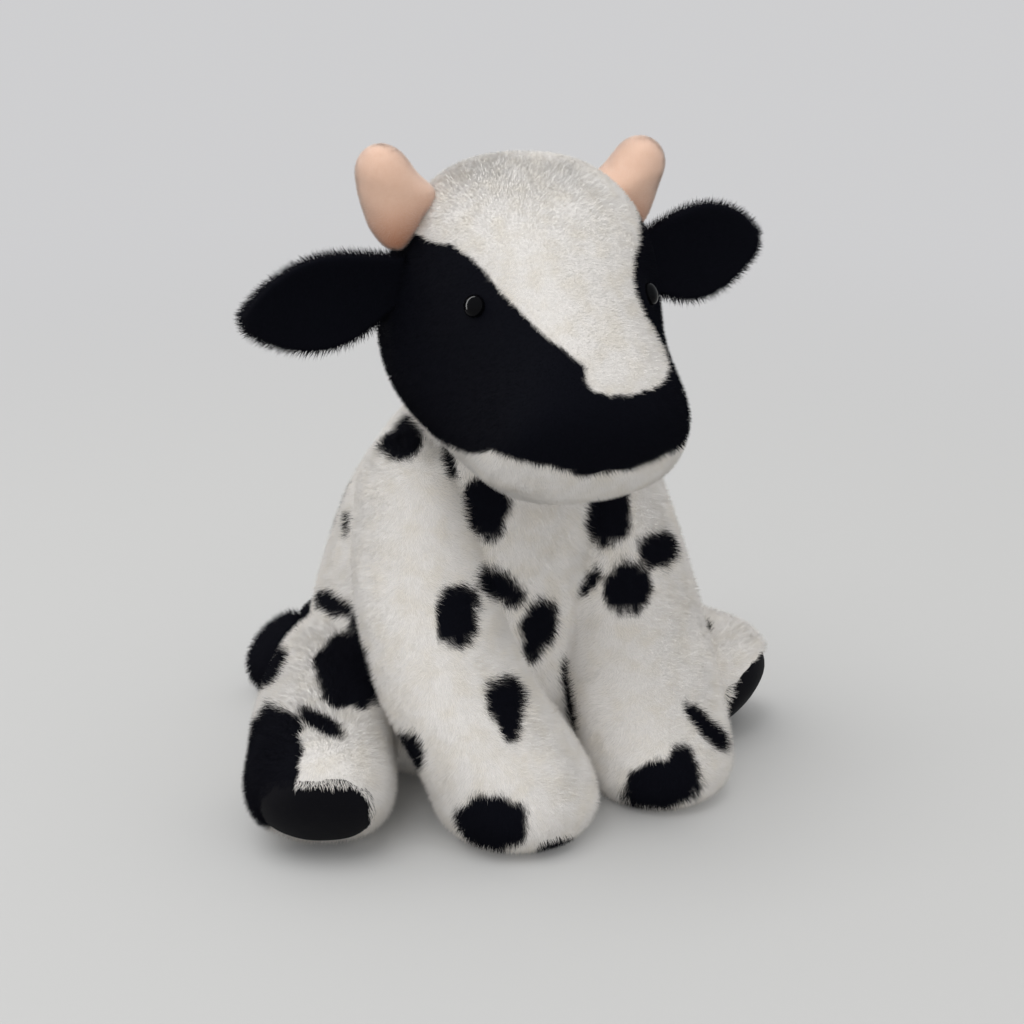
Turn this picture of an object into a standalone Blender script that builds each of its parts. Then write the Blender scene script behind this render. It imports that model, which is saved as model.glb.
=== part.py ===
"""A sitting plush cow: fur-fabric skins over stuffing, with sewn joints at the neck, ears, legs and tail.

Lengths are in metres and angles in degrees. The cow faces -Y and its left side is at +X. Setbacks, advances
and reaches are measured from a line close to the neck, and at the end the cow is moved back so that the
middle of its seat, on the floor, is the origin. Every soft form is a stack of rings along a middle line,
whose rows are shares of that form's named sizes.
"""
import math

import bmesh
import bpy
import numpy as np
from mathutils import Matrix, Vector
from mathutils.bvhtree import BVHTree

# Fabric and fits
skin_thickness = 0.0030
velour_thickness = 0.0020
sewing_gap = 0.0003
stuffing_gap = 0.0006
swing_clearance = 0.0010
ear_clearance = 0.0005
tail_clearance = 0.0003
star_reach = 0.4000
floor_flat_depth = 0.0005
overrun = 0.0400
weld_distance = 0.00002

# Torso
torso_height = 0.1500
torso_half_width = 0.0660
torso_half_depth = 0.0590
torso_lean = 0.0360
neck_ball_radius = 0.0360
neck_height = 0.1420
neck_setback = 0.0030
neck_hole_radius = 0.0080
bean_bag_radius = 0.0400
bean_bag_height = 0.0200

# Head, in its own frame: the middle of the skull is the origin, and the nose points forward and down
skull_height = 0.2040
skull_advance = 0.0100
head_half_width = 0.0520
head_half_height = 0.0510
head_length = 0.1420
skull_back_length = 0.0520
back_seam_setback = 0.0120
nose_drop_deg = 30.0
head_turn_deg = -8.0
head_tilt_deg = 4.0
head_fullness_power = 0.80
chin_seam_drop = 0.0500
chin_seam_advance = 0.0380

# Eyes
right_eye_spread = 0.0310
left_eye_spread = 0.0265
eye_advance = 0.0330
eye_rise = 0.0035
eye_radius = 0.0042
eye_dome_height = 0.0030
eye_post_radius = 0.0016
eye_post_length = 0.0100
eye_washer_radius = 0.0060
eye_washer_thickness = 0.0015
eye_dome_level_shares = (0.0, 0.45, 0.8, 0.96)

# Horns
horn_spread = 0.0450
horn_rise = 0.0140
horn_setback = 0.0080
horn_lean_deg = 11.0
horn_length = 0.0445
horn_half_width = 0.0145
horn_half_depth = 0.0120
right_horn_twist_deg = 0.0
left_horn_twist_deg = 30.0

# Ears
ear_root_spread = 0.0460
ear_root_rise = 0.0085
ear_root_setback = 0.0060
ear_length = 0.0660
ear_half_width = 0.0195
ear_layer_thickness = 0.0032
ear_sweep_deg = 11.0
right_ear_droop_deg = 17.0
left_ear_droop_deg = -2.0
right_ear_roll_deg = 12.0
left_ear_roll_deg = 0.0
ear_cup_share = 0.22
ear_rim_thinning_share = 0.60

# Front legs
front_leg_height = 0.1500
front_leg_half_width = 0.0275
front_foot_half_length = 0.0290
shoulder_spread = 0.0450
front_foot_reach = 0.0565
front_sole_half_width = 0.0170
front_sole_half_length = 0.0190
shoulder_hinge_height = 0.1380
shoulder_hinge_setback = 0.0080

# Hind legs
right_hind_foot_spread = 0.1120
left_hind_foot_spread = 0.1040
hip_setback = 0.0480
hind_leg_reach = 0.0790
right_hind_leg_lift = 0.0390
left_hind_leg_lift = 0.0350
hind_leg_half_width = 0.0295
hind_leg_girth_share = 0.744
hind_sole_half_width = 0.0230
hind_sole_half_height = 0.0180
hip_hinge_spread = 0.0560
hip_hinge_setback = 0.0360
hip_hinge_height = 0.0620

# Tail
tail_root_setback = 0.0820
tail_root_height = 0.0535
tail_side_reach = 0.0340
tail_back_reach = 0.0300
tail_half_thickness = 0.0060
tuft_length = 0.0430
tuft_half_thickness = 0.0110

# Joint ranges
neck_range_deg = (-10.0, 10.0)
ear_range_deg = (-20.0, 20.0)
front_leg_range_deg = (0.0, 30.0)
hind_leg_range_deg = (0.0, 25.0)
tail_range_deg = (0.0, 25.0)

# Rows of shares, from one end of a form to the other
torso_row_shares = (
    # height, half width, half depth, lean
    (0.000, 0.00, 0.00, 1.00),
    (0.003, 0.58, 0.58, 1.00),
    (0.035, 0.82, 0.82, 1.00),
    (0.125, 0.96, 0.96, 0.98),
    (0.260, 1.00, 1.00, 0.94),
    (0.420, 0.965, 0.95, 0.87),
    (0.600, 0.89, 0.89, 0.74),
    (0.770, 0.80, 0.81, 0.58),
    (0.900, 0.69, 0.68, 0.38),
    (0.985, 0.585, 0.58, 0.22),
)
neck_ball_row_degs = (36.0, 52.0, 70.0)

head_row_shares = (
    # place along the head, half width, half height, rise above the middle line, jowl
    (0.000, 0.00, 0.00, 0.00, 0.00),
    (0.030, 0.44, 0.44, 0.00, 0.00),
    (0.110, 0.76, 0.76, 0.00, 0.00),
    (0.230, 0.945, 0.94, 0.00, 0.06),
    (0.375, 0.99, 1.00, 0.00, 0.10),
    (0.490, 0.94, 0.96, -0.01, 0.18),
    (0.600, 0.85, 0.87, -0.03, 0.25),
    (0.700, 0.77, 0.77, -0.06, 0.24),
    (0.800, 0.75, 0.67, -0.07, 0.16),
    (0.890, 0.73, 0.57, -0.07, 0.08),
    (0.950, 0.62, 0.46, -0.06, 0.04),
    (0.985, 0.38, 0.28, -0.05, 0.00),
    (1.000, 0.00, 0.00, -0.04, 0.00),
)

front_leg_row_shares = (
    # height, half width, half length, spread, reach
    (0.000, 0.00, 0.00, 0.76, 0.96),
    (0.004, 0.60, 0.60, 0.76, 0.96),
    (0.045, 0.88, 0.88, 0.76, 0.98),
    (0.110, 0.99, 0.99, 0.77, 0.98),
    (0.200, 1.00, 0.97, 0.81, 0.84),
    (0.320, 1.04, 0.89, 0.91, 0.60),
    (0.470, 0.98, 0.83, 0.98, 0.35),
    (0.640, 0.87, 0.78, 1.01, 0.15),
    (0.800, 0.76, 0.72, 0.98, 0.02),
    (0.915, 0.66, 0.62, 0.96, -0.05),
    (0.980, 0.38, 0.36, 0.94, -0.08),
    (1.000, 0.00, 0.00, 0.93, -0.10),
)

hind_leg_row_shares = (
    # spread, reach, lift, half width, half height
    (0.25, 0.00, 1.00, 0.00, 0.00),
    (0.30, 0.01, 1.00, 0.72, 0.70),
    (0.43, 0.08, 1.00, 1.00, 0.98),
    (0.59, 0.23, 0.93, 1.00, 0.98),
    (0.73, 0.44, 0.80, 0.94, 0.93),
    (0.83, 0.66, 0.665, 0.95, 0.905),
    (0.90, 0.81, 0.638, 0.98, 0.88),
    (0.955, 0.915, 0.575, 0.90, 0.78),
    (0.990, 0.985, 0.48, 0.56, 0.50),
    (1.000, 1.00, 0.44, 0.00, 0.00),
)

tail_row_shares = (
    # side reach, back reach, height, half thickness
    (-0.02, 0.00, 1.00, 0.00),
    (0.00, 0.06, 1.00, 0.85),
    (0.08, 0.38, 0.98, 1.00),
    (0.36, 0.80, 0.92, 1.00),
    (0.70, 0.98, 0.82, 1.00),
    (0.94, 1.00, 0.72, 0.90),
    (1.00, 1.00, 0.69, 0.00),
)

tuft_row_shares = (
    # place along the tuft, half thickness
    (0.00, 0.00),
    (0.02, 0.46),
    (0.16, 0.72),
    (0.42, 1.00),
    (0.70, 0.98),
    (0.90, 0.66),
    (0.98, 0.30),
    (1.00, 0.00),
)
tuft_direction_shares = (-0.56, 0.16, -0.84)

horn_row_shares = (
    # place along the horn, half thickness
    (0.00, 0.00),
    (0.03, 0.50),
    (0.16, 0.66),
    (0.38, 0.86),
    (0.62, 1.00),
    (0.82, 0.86),
    (0.95, 0.48),
    (1.00, 0.00),
)

ear_row_shares = (
    # place along the ear, half width
    (0.00, 0.42),
    (0.10, 0.48),
    (0.28, 0.80),
    (0.46, 1.00),
    (0.64, 0.96),
    (0.80, 0.74),
    (0.93, 0.42),
    (1.00, 0.14),
)

# Panels of the head: stations along its rows, and half angles round it from the top or from the bottom
nose_station = 9.40
blaze_edge_degs = ((1.5, 60.0), (3.0, 62.0), (4.2, 66.0), (5.2, 58.0), (6.2, 45.0), (7.2, 36.0), (8.6, 30.0),
                   (9.2, 22.0))
wedge_inner_share = 0.5
wedge_outer_share = 1.5

# Heights in the torso from which the room for the limbs is measured, with the lean there
chest_share = 0.60
seat_share = 0.30
seat_lean_share = 0.90

# Counts
ring_sides = 18
leg_sides = 14
small_sides = 12
wedge_rows = 10
wedge_columns = 5
ear_columns = 5
sweep_steps = 6
star_rings = 20
star_sides = 30

unit_x = np.array((1.0, 0.0, 0.0))
unit_y = np.array((0.0, 1.0, 0.0))
unit_z = np.array((0.0, 0.0, 1.0))
neck_centre = np.array((0.0, neck_setback, neck_height))
chest_middle = np.array((0.0, torso_lean, torso_height)) * chest_share
seat_middle = np.array((0.0, torso_lean * seat_lean_share, torso_height * seat_share))


def clear_scene():
    """Take every object out of the file that Blender starts with."""
    for item in list(bpy.data.objects):
        bpy.data.objects.remove(item, do_unlink=True)


def make_materials():
    """A plain Principled material for each fabric and plastic, by name."""
    looks = (("white_fur", (0.86, 0.84, 0.80), 0.9), ("black_fur", (0.012, 0.012, 0.018), 0.9),
             ("sole_suede", (0.010, 0.010, 0.014), 0.95), ("peach_velour", (0.92, 0.62, 0.47), 0.85),
             ("fibre_stuffing", (0.90, 0.90, 0.88), 0.95), ("bag_cloth", (0.75, 0.72, 0.66), 0.9),
             ("eye_gloss", (0.005, 0.005, 0.006), 0.05), ("washer_plastic", (0.80, 0.80, 0.80), 0.4))
    made = {}
    for name, colour, roughness in looks:
        made[name] = bpy.data.materials.new(name)
        made[name].use_nodes = True
        shader = made[name].node_tree.nodes["Principled BSDF"]
        shader.inputs["Base Color"].default_value = (*colour, 1.0)
        shader.inputs["Roughness"].default_value = roughness
    return made


def unit(vector):
    """The vector's direction, with a length of one."""
    return np.array(vector, float) / np.linalg.norm(vector)


def link(name, mesh):
    """An object for a mesh, in the scene."""
    made = bpy.data.objects.new(name, mesh)
    bpy.context.collection.objects.link(made)
    return made


def mesh_object(name, points, faces, material=None):
    """A closed mesh object from points and faces, with its faces turned outwards."""
    mesh = bpy.data.meshes.new(name)
    mesh.from_pydata([tuple(point) for point in points], [], faces)
    body = bmesh.new()
    body.from_mesh(mesh)
    bmesh.ops.recalc_face_normals(body, faces=body.faces)
    body.to_mesh(mesh)
    body.free()
    mesh.shade_smooth()
    if material:
        mesh.materials.append(material)
    return link(name, mesh)


def ring_faces(ring_count, sides):
    """Faces of a closed stack of rings, where the first and the last point are its two ends."""
    faces = []
    for ring in range(ring_count - 1):
        for side in range(sides):
            here = 1 + ring * sides + side
            beside = 1 + ring * sides + (side + 1) % sides
            faces.append((here, beside, beside + sides, here + sides))
    end = 1 + ring_count * sides
    last = 1 + (ring_count - 1) * sides
    for side in range(sides):
        faces.append((0, 1 + (side + 1) % sides, 1 + side))
        faces.append((end, last + side, last + (side + 1) % sides))
    return faces


def halved(faces):
    """The faces with each four-sided one split the same way, so that two such forms stay parallel."""
    split = []
    for face in faces:
        split.append(face[:3])
        if len(face) == 4:
            split.append((face[0], face[2], face[3]))
    return split


def ring_form(name, rows, side_dirs, up_dirs, sides, material=None):
    """A closed form from rows of a middle point, a half size along side_dirs and one along up_dirs."""
    points = [rows[0][:3]]
    for row, side_dir, up_dir in list(zip(rows, side_dirs, up_dirs))[1:-1]:
        for step in range(sides):
            angle = math.tau * step / sides
            across = side_dir * row[3] * math.cos(angle)
            along = up_dir * row[4] * math.sin(angle)
            points.append(row[:3] + across + along)
    points.append(rows[-1][:3])
    return mesh_object(name, points, ring_faces(len(rows) - 2, sides), material)


def path_form(name, rows, across, sides, material=None):
    """A ring form whose rings stand square to the middle line of its rows, their sides nearest to across."""
    tangents = np.gradient(rows[:, :3], axis=0)
    side_dirs = []
    up_dirs = []
    for tangent in tangents:
        along = unit(tangent)
        side = unit(across - along * np.dot(across, along))
        side_dirs.append(side)
        up_dirs.append(np.cross(along, side))
    return ring_form(name, rows, side_dirs, up_dirs, sides, material)


def grown(source, name, distance, material=None):
    """A copy of a form with its surface moved outwards by distance, or inwards where it is negative."""
    mesh = source.data.copy()
    normals = [vertex.normal.copy() for vertex in mesh.vertices]
    for vertex, normal in zip(mesh.vertices, normals):
        vertex.co += normal * distance
    mesh.name = name
    mesh.materials.clear()
    if material:
        mesh.materials.append(material)
    return link(name, mesh)


def combine(target, tool, operation):
    """Apply a Boolean with the tool to the target, and keep the result as its mesh."""
    step = target.modifiers.new("combine", "BOOLEAN")
    step.operation = operation
    step.solver = "EXACT"
    step.object = tool
    bpy.context.view_layer.update()
    evaluated = target.evaluated_get(bpy.context.evaluated_depsgraph_get())
    mesh = bpy.data.meshes.new_from_object(evaluated)
    body = bmesh.new()
    body.from_mesh(mesh)
    bmesh.ops.remove_doubles(body, verts=body.verts, dist=weld_distance)
    bmesh.ops.dissolve_degenerate(body, edges=body.edges, dist=weld_distance)
    body.to_mesh(mesh)
    body.free()
    target.modifiers.remove(step)
    mesh.name = target.name
    target.data = mesh


def cut(target, *tools):
    """Cut each tool out of the target."""
    for tool in tools:
        combine(target, tool, "DIFFERENCE")


def drop(*tools):
    """Remove tools that have done their work."""
    for tool in tools:
        bpy.data.objects.remove(tool, do_unlink=True)


def reach_tool(source, middle, hinge, axis, range_deg, clearance):
    """The room that a form takes from a piece swinging on the hinge, as one star of rays from middle."""
    low, high = range_deg
    half_ring = math.pi / star_rings / 2
    half_side = math.pi / star_sides
    polygons = [tuple(face.vertices) for face in source.data.polygons]
    trees = []
    for step in range(sweep_steps + 1):
        angle = math.radians(low + (high - low) * step / sweep_steps)
        turn = Matrix.Rotation(-angle, 3, Vector(axis))
        points = [turn @ (vertex.co - Vector(hinge)) + Vector(hinge) for vertex in source.data.vertices]
        trees.append(BVHTree.FromPolygons(points, polygons))

    def reach_along(slope, turn_angle):
        flat = math.sin(slope)
        out = np.array((flat * math.cos(turn_angle), flat * math.sin(turn_angle), math.cos(slope)))
        reaches = [0.0]
        for tree in trees:
            found, normal, face, travel = tree.ray_cast(Vector(middle + out * star_reach), Vector(-out))
            if found:
                reaches.append(star_reach - travel)
        return max(reaches), out

    def star_point(slope, turn_angle):
        reach, out = reach_along(slope, turn_angle)
        for slope_step, turn_step in ((1, 1), (1, -1), (-1, 1), (-1, -1)):
            beside = reach_along(slope + slope_step * half_ring, turn_angle + turn_step * half_side)
            reach = max(reach, beside[0])
        return middle + out * (reach + clearance)

    points = [star_point(math.pi, 0.0)]
    for ring in range(1, star_rings):
        slope = math.pi * (1.0 - ring / star_rings)
        points += [star_point(slope, math.tau * side / star_sides) for side in range(star_sides)]
    points.append(star_point(0.0, 0.0))
    return mesh_object("reach_tool", points, ring_faces(star_rings - 1, star_sides))


def swing_cut(targets, source, middle, hinge, axis, range_deg, clearance):
    """Cut the room of a fixed form round middle out of the pieces that swing past it."""
    tool = reach_tool(source, middle, hinge, axis, range_deg, clearance)
    for target in targets:
        cut(target, tool)
    drop(tool)


def joint_empty(name, centre, parent=None):
    """An empty on a joint's axis, which carries the pieces that move with it."""
    made = link(name, None)
    made.location = centre
    if parent:
        made.parent = parent
        made.location = Vector(centre) - parent.matrix_world.translation
    bpy.context.view_layer.update()
    return made


def hang(empty, *pieces):
    """Put each piece's origin on its joint and parent it there, where it already lies."""
    for piece in pieces:
        piece.data.transform(empty.matrix_world.inverted())
        piece.parent = empty


def egg(name, centre, sizes, material=None):
    """A closed egg round centre with half sizes along X, Y and Z."""
    rows = []
    steps = small_sides // 2
    for step in range(steps + 1):
        angle = math.pi * step / steps
        level = centre[2] - sizes[2] * math.cos(angle)
        rows.append((centre[0], centre[1], level, sizes[0] * math.sin(angle), sizes[1] * math.sin(angle)))
    count = len(rows)
    return ring_form(name, np.array(rows), [unit_x] * count, [unit_y] * count, small_sides, material)


def round_bar(name, centre, along, radii, levels, across=unit_x, flat_share=1.0, sides=small_sides,
              material=None):
    """A bar of round or oval rings at the given levels along its direction, with flat ends."""
    out = unit(along)
    side_dir = unit(across - out * np.dot(across, out))
    up_dir = np.cross(out, side_dir)
    points = []
    for level, radius in zip(levels, radii):
        for step in range(sides):
            angle = math.tau * step / sides
            flat = side_dir * math.cos(angle) + up_dir * math.sin(angle) * flat_share
            points.append(np.array(centre) + flat * radius + out * level)
    last = len(levels) - 1
    faces = [tuple(range(sides)), tuple(range(last * sides, (last + 1) * sides))]
    for ring in range(last):
        for step in range(sides):
            here = ring * sides + step
            beside = ring * sides + (step + 1) % sides
            faces.append((here, beside, beside + sides, here + sides))
    return mesh_object(name, points, faces, material)


def half_space(name, point, out, reach):
    """A square block whose one face passes through point and looks along out."""
    out = unit(out)
    start = unit_x if abs(out[0]) < abs(out[1]) + abs(out[2]) else unit_y
    across = unit(start - out * np.dot(start, out))
    along = np.cross(out, across)
    points = []
    for level in (-reach, 0.0):
        for a, b in ((-1, -1), (1, -1), (1, 1), (-1, 1)):
            points.append(np.array(point) + out * level + (across * a + along * b) * reach)
    faces = [(0, 1, 2, 3), (4, 5, 6, 7), (0, 1, 5, 4), (1, 2, 6, 5), (2, 3, 7, 6), (3, 0, 4, 7)]
    return mesh_object(name, points, faces)


def floor_block():
    """A block under z = 0 that cuts the standing forms flat."""
    return half_space("floor_block", (0.0, 0.0, 0.0), unit_z, right_hind_foot_spread * 2)


def torso_form(name, material=None):
    """The pear of the torso, ending in a ball that the head sits on."""
    rows = []
    for height, width, depth, lean in torso_row_shares:
        level = height * torso_height - floor_flat_depth
        rows.append((0.0, lean * torso_lean, level, width * torso_half_width, depth * torso_half_depth))
    for degrees in neck_ball_row_degs:
        slope = math.radians(degrees)
        radius = neck_ball_radius * math.cos(slope)
        rows.append((0.0, neck_setback, neck_height + neck_ball_radius * math.sin(slope), radius, radius))
    rows.append((0.0, neck_setback, neck_height + neck_ball_radius, 0.0, 0.0))
    count = len(rows)
    return ring_form(name, np.array(rows), [unit_x] * count, [unit_y] * count, ring_sides, material)


def make_torso(form, floor, cloth):
    """Torso skin with a gathered neck hole, the stuffing inside it and the bean bag in the seat."""
    skin = grown(form, "torso_skin", 0.0, cloth["white_fur"])
    cavity = grown(form, "torso_cavity", -skin_thickness)
    hole = round_bar("neck_hole", neck_centre, unit_z, (neck_hole_radius, neck_hole_radius),
                     (neck_ball_radius / 2, neck_ball_radius + overrun))
    cut(skin, cavity, hole, floor)
    stuffing = grown(form, "torso_stuffing", -skin_thickness - stuffing_gap, cloth["fibre_stuffing"])
    seat_level = skin_thickness + stuffing_gap - floor_flat_depth
    middle = np.array((0.0, torso_lean, seat_level + bean_bag_height / 2))
    sizes = (bean_bag_radius, bean_bag_radius, bean_bag_height / 2)
    bag = egg("seat_bean_bag", middle, sizes, cloth["bag_cloth"])
    pocket = grown(bag, "bag_pocket", sewing_gap)
    mouth = round_bar("pocket_mouth", middle, unit_z, (bean_bag_radius / 2, bean_bag_radius / 2),
                      (-bean_bag_height, 0.0))
    cut(stuffing, pocket, mouth)
    drop(cavity, hole, pocket, mouth)


def head_place():
    """Where the head's own frame lies: moved to the skull, turned to its right and tilted."""
    move = Matrix.Translation((0.0, -skull_advance, skull_height))
    turn = Matrix.Rotation(math.radians(head_turn_deg), 4, "Z")
    tilt = Matrix.Rotation(math.radians(head_tilt_deg), 4, "Y")
    return move @ turn @ tilt


def head_forward():
    """The head's forward direction in its own frame."""
    slope = math.radians(nose_drop_deg)
    return np.array((0.0, -math.cos(slope), -math.sin(slope)))


def head_rising():
    """The direction square to the head's forward direction, in its own frame."""
    slope = math.radians(nose_drop_deg)
    return np.array((0.0, -math.sin(slope), math.cos(slope)))


def head_row(station):
    """Place, half width, half height, rise and jowl at a station of the head, also between two rows."""
    columns = np.array(head_row_shares).T
    stations = np.arange(len(head_row_shares))
    place, width, height, rise, jowl = (float(np.interp(station, stations, column)) for column in columns)
    along = place * head_length - skull_back_length
    return along, width * head_half_width, height * head_half_height, rise * head_half_height, jowl


def head_middle(station):
    """The middle of the head at a station."""
    along, width, height, rise, jowl = head_row(station)
    return head_forward() * along + head_rising() * rise


def head_point(station, angle_deg):
    """A point of the head's surface, at an angle from the right cheek over the top."""
    along, width, height, rise, jowl = head_row(station)
    angle = math.radians(angle_deg)
    across = math.copysign(abs(math.cos(angle)) ** head_fullness_power, -math.cos(angle))
    up = math.copysign(abs(math.sin(angle)) ** head_fullness_power, math.sin(angle))
    side = across * (1.0 - jowl * up) * width
    return head_middle(station) + unit_x * side + head_rising() * up * height


def head_form(name):
    """The head as one closed form, in its own frame."""
    last = len(head_row_shares) - 1
    points = [head_point(0, 0.0)]
    for station in range(1, last):
        points += [head_point(station, 360.0 * side / ring_sides) for side in range(ring_sides)]
    points.append(head_point(last, 0.0))
    return mesh_object(name, points, halved(ring_faces(last - 1, ring_sides)))


def sheet_faces(rows, columns):
    """Faces of a closed sheet whose points come in pairs, one for each of its two sides, row by row."""
    def at(row, column, layer):
        return 2 * (row * columns + column) + layer

    faces = []
    for row in range(rows - 1):
        for column in range(columns - 1):
            for layer in (0, 1):
                faces.append((at(row, column, layer), at(row, column + 1, layer),
                              at(row + 1, column + 1, layer), at(row + 1, column, layer)))
        for column in (0, columns - 1):
            faces.append((at(row, column, 0), at(row + 1, column, 0),
                          at(row + 1, column, 1), at(row, column, 1)))
    for column in range(columns - 1):
        for row in (0, rows - 1):
            faces.append((at(row, column, 0), at(row, column + 1, 0),
                          at(row, column + 1, 1), at(row, column, 1)))
    return faces


def blaze_region(margin):
    """A wedge through the top of the head's wall that outlines the blaze, wider all round by margin."""
    edge_stations, edge_angles = zip(*blaze_edge_degs)
    station_run = head_length / len(head_row_shares)
    first = edge_stations[0] - margin / station_run
    last = edge_stations[-1] + margin / station_run
    points = []
    for station in np.linspace(first, last, wedge_rows):
        middle = head_middle(station)
        spare = math.degrees(margin / head_row(station)[2])
        half = float(np.interp(station, edge_stations, edge_angles)) + spare
        for column in range(wedge_columns):
            angle = 90.0 + half * (2.0 * column / (wedge_columns - 1) - 1.0)
            wall = head_point(station, angle) - middle
            points.append(middle + wall * wedge_inner_share)
            points.append(middle + wall * wedge_outer_share)
    return mesh_object("blaze_region", points, halved(sheet_faces(wedge_rows, wedge_columns)))


def chin_region(margin):
    """A block under and in front of the chin's seams, wider by margin."""
    region = half_space("chin_region", unit_z * (margin - chin_seam_drop), unit_z, head_length)
    front = half_space("chin_front", unit_y * (margin - chin_seam_advance), unit_y, head_length)
    combine(region, front, "INTERSECT")
    drop(front)
    return region


def make_head_skin(form, cloth):
    """The head's skin, sewn from a blaze, a chin, a nose panel, a back and two cheeks."""
    rest = grown(form, "head_shell", 0.0)
    cavity = grown(form, "head_cavity", -skin_thickness)
    cut(rest, cavity)
    half_gap = sewing_gap / 2
    panels = []
    for name, region in (("blaze", blaze_region), ("chin", chin_region)):
        inside = region(-sewing_gap)
        outside = region(sewing_gap)
        panel = grown(rest, name, 0.0, cloth["white_fur"])
        combine(panel, inside, "INTERSECT")
        cut(rest, outside)
        panels.append(panel)
        drop(inside, outside)
    seams = (("nose_panel", head_middle(nose_station), head_forward()),
             ("head_back", unit_y * back_seam_setback, unit_y),
             ("right_cheek", np.zeros(3), -unit_x))
    for name, seam, out in seams:
        behind = half_space("behind_seam", seam + out * half_gap, out, head_length)
        ahead = half_space("ahead_of_seam", seam - out * half_gap, -out, head_length)
        panel = grown(rest, name, 0.0, cloth["black_fur"])
        cut(panel, behind)
        cut(rest, ahead)
        panels.append(panel)
        drop(behind, ahead)
    panels.append(grown(rest, "left_cheek", 0.0, cloth["black_fur"]))
    drop(rest, cavity)
    return panels


def make_eye(side_name, eye_spread, form, cheek, stuffing, cloth):
    """A safety eye: a dome on a ribless post through the cheek, held by a washer inside."""
    near = Vector((eye_spread, -eye_advance, eye_rise))
    found, seat, normal, face = form.closest_point_on_mesh(near)
    seat = np.array(seat)
    out = np.array(normal)
    dome_levels = [sewing_gap + eye_dome_height * share for share in eye_dome_level_shares]
    dome_radii = [eye_radius * math.sqrt(1.0 - share * share) for share in eye_dome_level_shares]
    levels = [-eye_post_length, dome_levels[0]] + dome_levels
    radii = [eye_post_radius, eye_post_radius] + dome_radii
    eye = round_bar(side_name + "_eye", seat, out, radii, levels, material=cloth["eye_gloss"])
    washer_top = -skin_thickness - stuffing_gap
    washer = round_bar(side_name + "_eye_washer", seat, out, (eye_washer_radius, eye_washer_radius),
                       (washer_top - eye_washer_thickness, washer_top), material=cloth["washer_plastic"])
    bore_radius = eye_post_radius + sewing_gap
    bore = round_bar("bore", seat, out, (bore_radius, bore_radius), (-eye_post_length * 2, eye_post_length))
    pocket_radius = eye_washer_radius + sewing_gap
    pocket = round_bar("pocket", seat, out, (pocket_radius, pocket_radius),
                       (-eye_post_length - sewing_gap, eye_post_length))
    cut(washer, bore)
    cut(cheek, bore)
    cut(stuffing, pocket)
    drop(bore, pocket)
    return [eye, washer]


def make_horn(side_name, side, twist_deg, form, cloth):
    """A horn: a round velour lobe with a pinched root, stuffed, and sewn to the head over the ear."""
    lean = math.radians(horn_lean_deg)
    up = np.array((side * math.sin(lean), 0.0, math.cos(lean)))
    root = np.array((side * horn_spread, horn_setback, horn_rise))
    rows = []
    for place, thickness in horn_row_shares:
        middle = root + up * place * horn_length
        rows.append((*middle, thickness * horn_half_width, thickness * horn_half_depth))
    twist = math.radians(twist_deg)
    whole = path_form("horn", np.array(rows), np.array((math.cos(twist), math.sin(twist), 0.0)), small_sides)
    skin = grown(whole, side_name + "_horn_skin", 0.0, cloth["peach_velour"])
    cavity = grown(whole, "horn_cavity", -velour_thickness)
    stuffing = grown(whole, side_name + "_horn_stuffing", -velour_thickness - stuffing_gap,
                     cloth["fibre_stuffing"])
    head = grown(form, "head_tool", sewing_gap)
    cut(skin, cavity, head)
    cut(stuffing, head)
    drop(cavity, head)
    return whole, skin, stuffing


def ear_frame(side, droop_deg, roll_deg):
    """The ear's root with its directions along, across and out of its front, in the head's frame."""
    droop = math.radians(droop_deg)
    sweep = math.radians(ear_sweep_deg)
    along = np.array((side * math.cos(sweep) * math.cos(droop), math.sin(sweep) * math.cos(droop),
                      -math.sin(droop)))
    across = unit(unit_z - along * np.dot(unit_z, along))
    front = np.cross(along, across) * side
    roll = math.radians(roll_deg)
    rolled_across = across * math.cos(roll) + front * math.sin(roll)
    rolled_front = front * math.cos(roll) - across * math.sin(roll)
    root = np.array((side * ear_root_spread, ear_root_setback, ear_root_rise))
    return root, along, rolled_across, rolled_front


def ear_layer(name, frame, layer_side, material):
    """One of an ear's two layers, a cupped leaf that thins towards its rim, on the given side of the seam."""
    root, along, across, front = frame
    points = []
    for place, width in ear_row_shares:
        half = width * ear_half_width
        for column in range(ear_columns):
            offset = 2.0 * column / (ear_columns - 1) - 1.0
            cup = ear_cup_share * half * offset * offset
            middle = root + along * place * ear_length + across * half * offset + front * cup
            rim_share = 1.0 - ear_rim_thinning_share * offset * offset
            near = layer_side * sewing_gap / 2
            far = near + layer_side * ear_layer_thickness * rim_share
            points.append(middle + front * near)
            points.append(middle + front * far)
    return mesh_object(name, points, sheet_faces(len(ear_row_shares), ear_columns), material)


def make_ear(side_name, side, droop_deg, roll_deg, form, horn, cloth):
    """An ear of two layers, flapping forward and back on its sewn root under the horn."""
    frame = ear_frame(side, droop_deg, roll_deg)
    front_layer = ear_layer(side_name + "_ear_front", frame, 1.0, cloth["black_fur"])
    back_layer = ear_layer(side_name + "_ear_back", frame, -1.0, cloth["black_fur"])
    root, along, across, front = frame
    seam_place = ear_row_shares[1][0] * ear_length
    found, seat, normal, face = form.closest_point_on_mesh(Vector(root + along * seam_place))
    horn_middle = np.mean([vertex.co for vertex in horn.data.vertices], axis=0)
    for source, middle in ((form, np.zeros(3)), (horn, horn_middle)):
        swing_cut([front_layer, back_layer], source, middle, seat, across, ear_range_deg, ear_clearance)
    return [front_layer, back_layer], seat, across


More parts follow.
